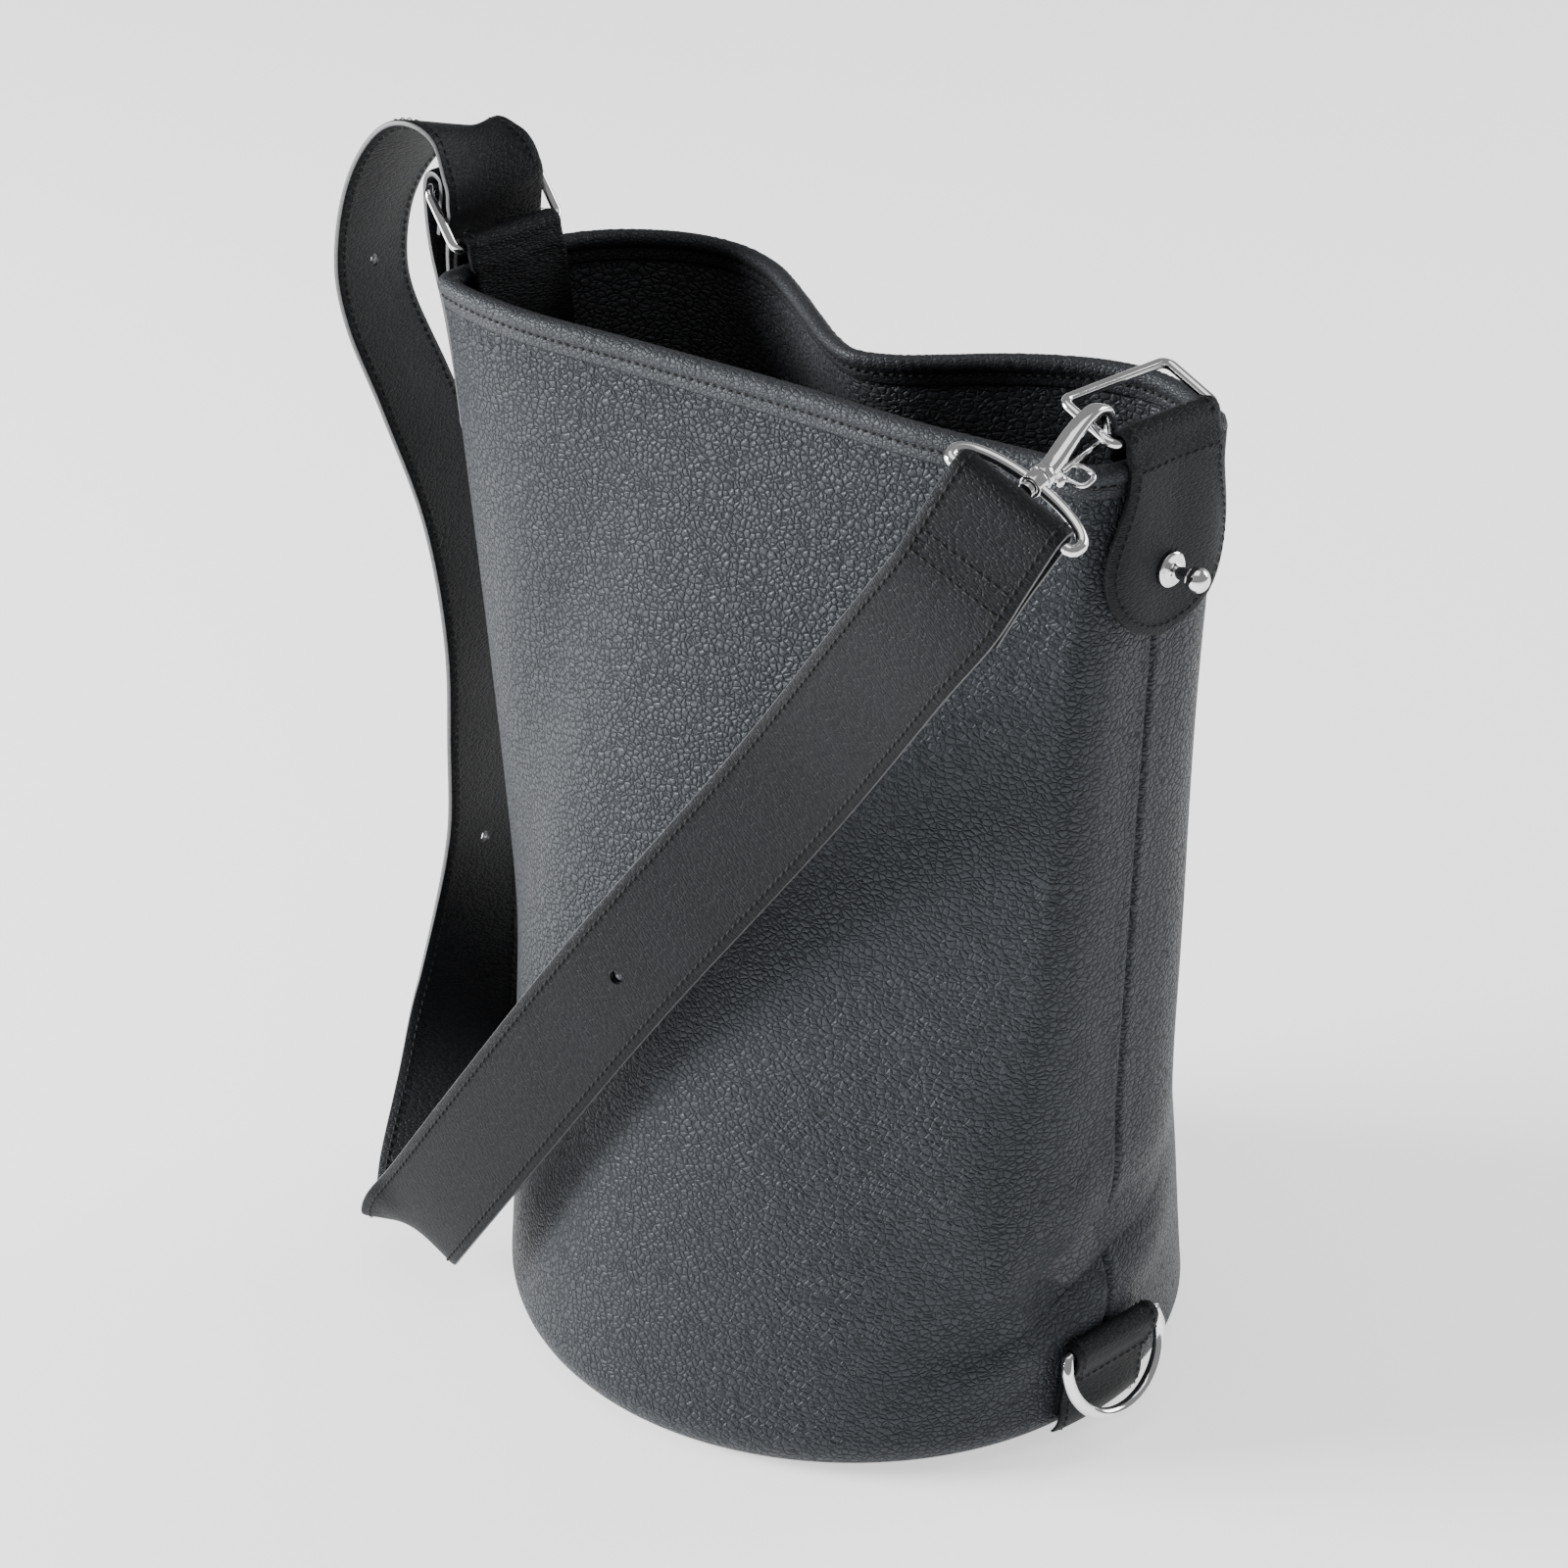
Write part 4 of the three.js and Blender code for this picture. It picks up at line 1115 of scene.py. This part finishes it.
def strap_hole_rods():
    """Rods that cut the round stud holes, the one on the stud among them."""
    foot, out = stud_axis(LEFT)
    rods = [tube("rod", [foot, foot + out * 12], STUD_HOLE_RADIUS, sides=40)]
    for i, station in enumerate(STRAP):
        if len(station) > 2:
            centre, _, _, normal = FRAMES[i * SPAN_STEPS]
            rods.append(tube("rod", [centre - normal * 4, centre + normal * 4], HOLE_RADIUS, sides=40))
    return rods


def strap_stitches():
    """Rows along both edges on both faces, except where they lie in the left ring, and two across."""
    rows = []
    reach = STRAP_WIDTH / 2 - STITCH_INSET
    for hand in (-1, 1):
        for face in (1, -1):
            points = [f[0] + f[2] * hand * reach + f[3] * face * STRAP_STITCH_LIFT for f in FRAMES]
            normals = [f[3] * face for f in FRAMES]
            for start, stop in ((0.5, 35), (41, 46)):
                stretch = slice(int(start * SPAN_STEPS), int(stop * SPAN_STEPS))
                rows.append((points[stretch], normals[stretch]))
    for target in (20.0, 27.0):
        index = np.argmin(np.abs(RUN - (RUN[8 * SPAN_STEPS] + target)))
        centre, _, across, normal = FRAMES[index]
        points = [centre + across * w + normal * STRAP_STITCH_LIFT for w in np.linspace(-16, 16, 18)]
        rows.append((points, [normal] * len(points)))
    return rows


def rim_stitches():
    """The row that holds the binding, outside and inside, stopped at the tabs."""
    rows = []
    for out, facing in ((0.62, 1), (-3.4, -1)):
        for start, stop in ((0.034, 0.466), (0.534, 0.966)):
            turns = np.linspace(start, stop, 700)
            points = wall(turns, STITCH_Z, out)
            normals = wall(turns, STITCH_Z, out + 1.0) - points
            rows.append((points, normals * facing))
    return rows


# ---------- the pieces on their bodies ----------
def make_soft_goods():
    dress(make_shell(), GRAINED, "bag", "front_panel", "back_panel", "base_panel", slot="grained_leather")
    dress(make_lining(), LINING_LOOK, "bag", "lining_front", "lining_back", slot="lining_leather")
    base = turned("lining_floor", [(0, 4.5), (98, 4.5), (98, 5.4), (0, 5.4)], (0, 0, 0), (0, 0, 1), 128)
    dress(base, LINING_LOOK, "bag", "lining_base", slot="lining_leather")
    dress(make_binding(), RIM_LOOK, "bag", "rim_binding", slot="grained_leather")
    tabs = [make_tab("tab_right_leather", RIGHT), make_tab("tab_left_leather", LEFT), make_base_tab()]
    plies = [make_ply("strap_outer_leather", GAP / 2, STRAP_HALF_THICK, 1),
             make_ply("strap_inner_leather", -STRAP_HALF_THICK, -GAP / 2, -1)]
    core = make_strap_core()
    for piece in (*plies, core):
        cut_holes(piece, strap_hole_rods())
    cad_nodes = ("tab_right", "tab_left", "base_tab", "strap_outer", "strap_lining")
    for piece, cad_node in zip(tabs + plies, cad_nodes):
        dress(piece, RIDGED, "bag", cad_node, slot="strap_leather")
    dress(core, EDGE, "bag", slot="strap_leather")


def make_threads():
    stitch_object("strap_stitching", strap_stitches())
    stitch_object("rim_stitching", rim_stitches())
    stitch_object("tab_right_stitching", tab_stitches(RIGHT))
    stitch_object("tab_left_stitching", tab_stitches(LEFT))
    stitch_object("base_tab_stitching", base_tab_stitches())


def make_hardware():
    hardware = (
        (make_tab_ring("steel_ring_right", RIGHT, RIGHT_DEEP), "ring_right", "ring_right"),
        (make_tab_ring("steel_ring_left", LEFT, LEFT_DEEP), "ring_left", "ring_left"),
        (make_stud("steel_stud_right", RIGHT), "bag", "stud_right"),
        (make_stud("steel_stud_left", LEFT), "bag", "stud_left"),
        (make_screw("steel_screw_right", RIGHT), "bag", "stud_screw_right"),
        (make_screw("steel_screw_left", LEFT), "bag", "stud_screw_left"),
        (make_strap_ring(), "strap_ring", "strap_ring"),
        (make_hook(), "hook", "hook_body"),
        (make_gate(), "gate", "hook_gate"),
        (make_dring(), "base_dring", "base_dring"),
    )
    for piece, body, cad_node in hardware:
        dress(piece, METAL, body, cad_node, slot="polished_hardware")


def finish_cad_nodes():
    """Better materials for the CAD nodes that stay as they are."""
    for name, material in (("gate_pin", METAL), ("base_board", BOARD)):
        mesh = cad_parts[name].data
        mesh.materials.clear()
        mesh.materials.append(material)


# ---------- floor, light, camera ----------
def make_floor():
    bpy.ops.mesh.primitive_plane_add(size=40, location=(0, 0, -0.0004))
    floor = bpy.context.object
    floor.name = "floor"
    material, _, shader = new_material("floor_paper")
    shader.inputs["Base Color"].default_value = (0.93, 0.93, 0.93, 1)
    shader.inputs["Roughness"].default_value = 0.9
    shader.inputs["Specular IOR Level"].default_value = 0.1
    shader.inputs["Emission Color"].default_value = (1, 1, 1, 1)
    shader.inputs["Emission Strength"].default_value = 1.0
    floor.data.materials.append(material)


def softbox(name, location, target, size, power):
    data = bpy.data.lights.new(name, "AREA")
    data.shape = "RECTANGLE"
    data.size, data.size_y = size
    data.energy = power
    light = bpy.data.objects.new(name, data)
    light.location = location
    light.rotation_euler = (Vector(target) - Vector(location)).to_track_quat("-Z", "Y").to_euler()
    bpy.context.scene.collection.objects.link(light)


def make_lights():
    world = bpy.data.worlds.new("studio")
    world.use_nodes = True
    background = world.node_tree.nodes["Background"]
    background.inputs["Color"].default_value = (1, 1, 1, 1)
    background.inputs["Strength"].default_value = 0.28
    bpy.context.scene.world = world
    softbox("key", (-2.0, -1.55, 0.95), (0, 0, 0.25), (1.0, 1.0), 185)
    softbox("top", (0.1, -0.2, 2.2), (0, 0, 0.2), (1.6, 1.6), 12)
    softbox("back", (1.2, 2.2, 1.3), (0, 0, 0.2), (1.4, 1.4), 40)


def make_camera():
    azimuth, elevation, distance = math.radians(37.2), math.radians(28.0), 1.362
    target = Vector((-0.02165, -0.00732, 0.190))
    level = math.cos(elevation)
    away = Vector((math.sin(azimuth) * level, -math.cos(azimuth) * level, math.sin(elevation)))
    data = bpy.data.cameras.new("camera")
    data.lens = 95
    data.sensor_width = 36
    camera = bpy.data.objects.new("camera", data)
    camera.location = target + away * distance
    camera.rotation_euler = (-away).to_track_quat("-Z", "Y").to_euler()
    bpy.context.scene.collection.objects.link(camera)
    bpy.context.scene.camera = camera


make_camera()
make_lights()
make_floor()
make_soft_goods()
make_threads()
make_hardware()
finish_cad_nodes()
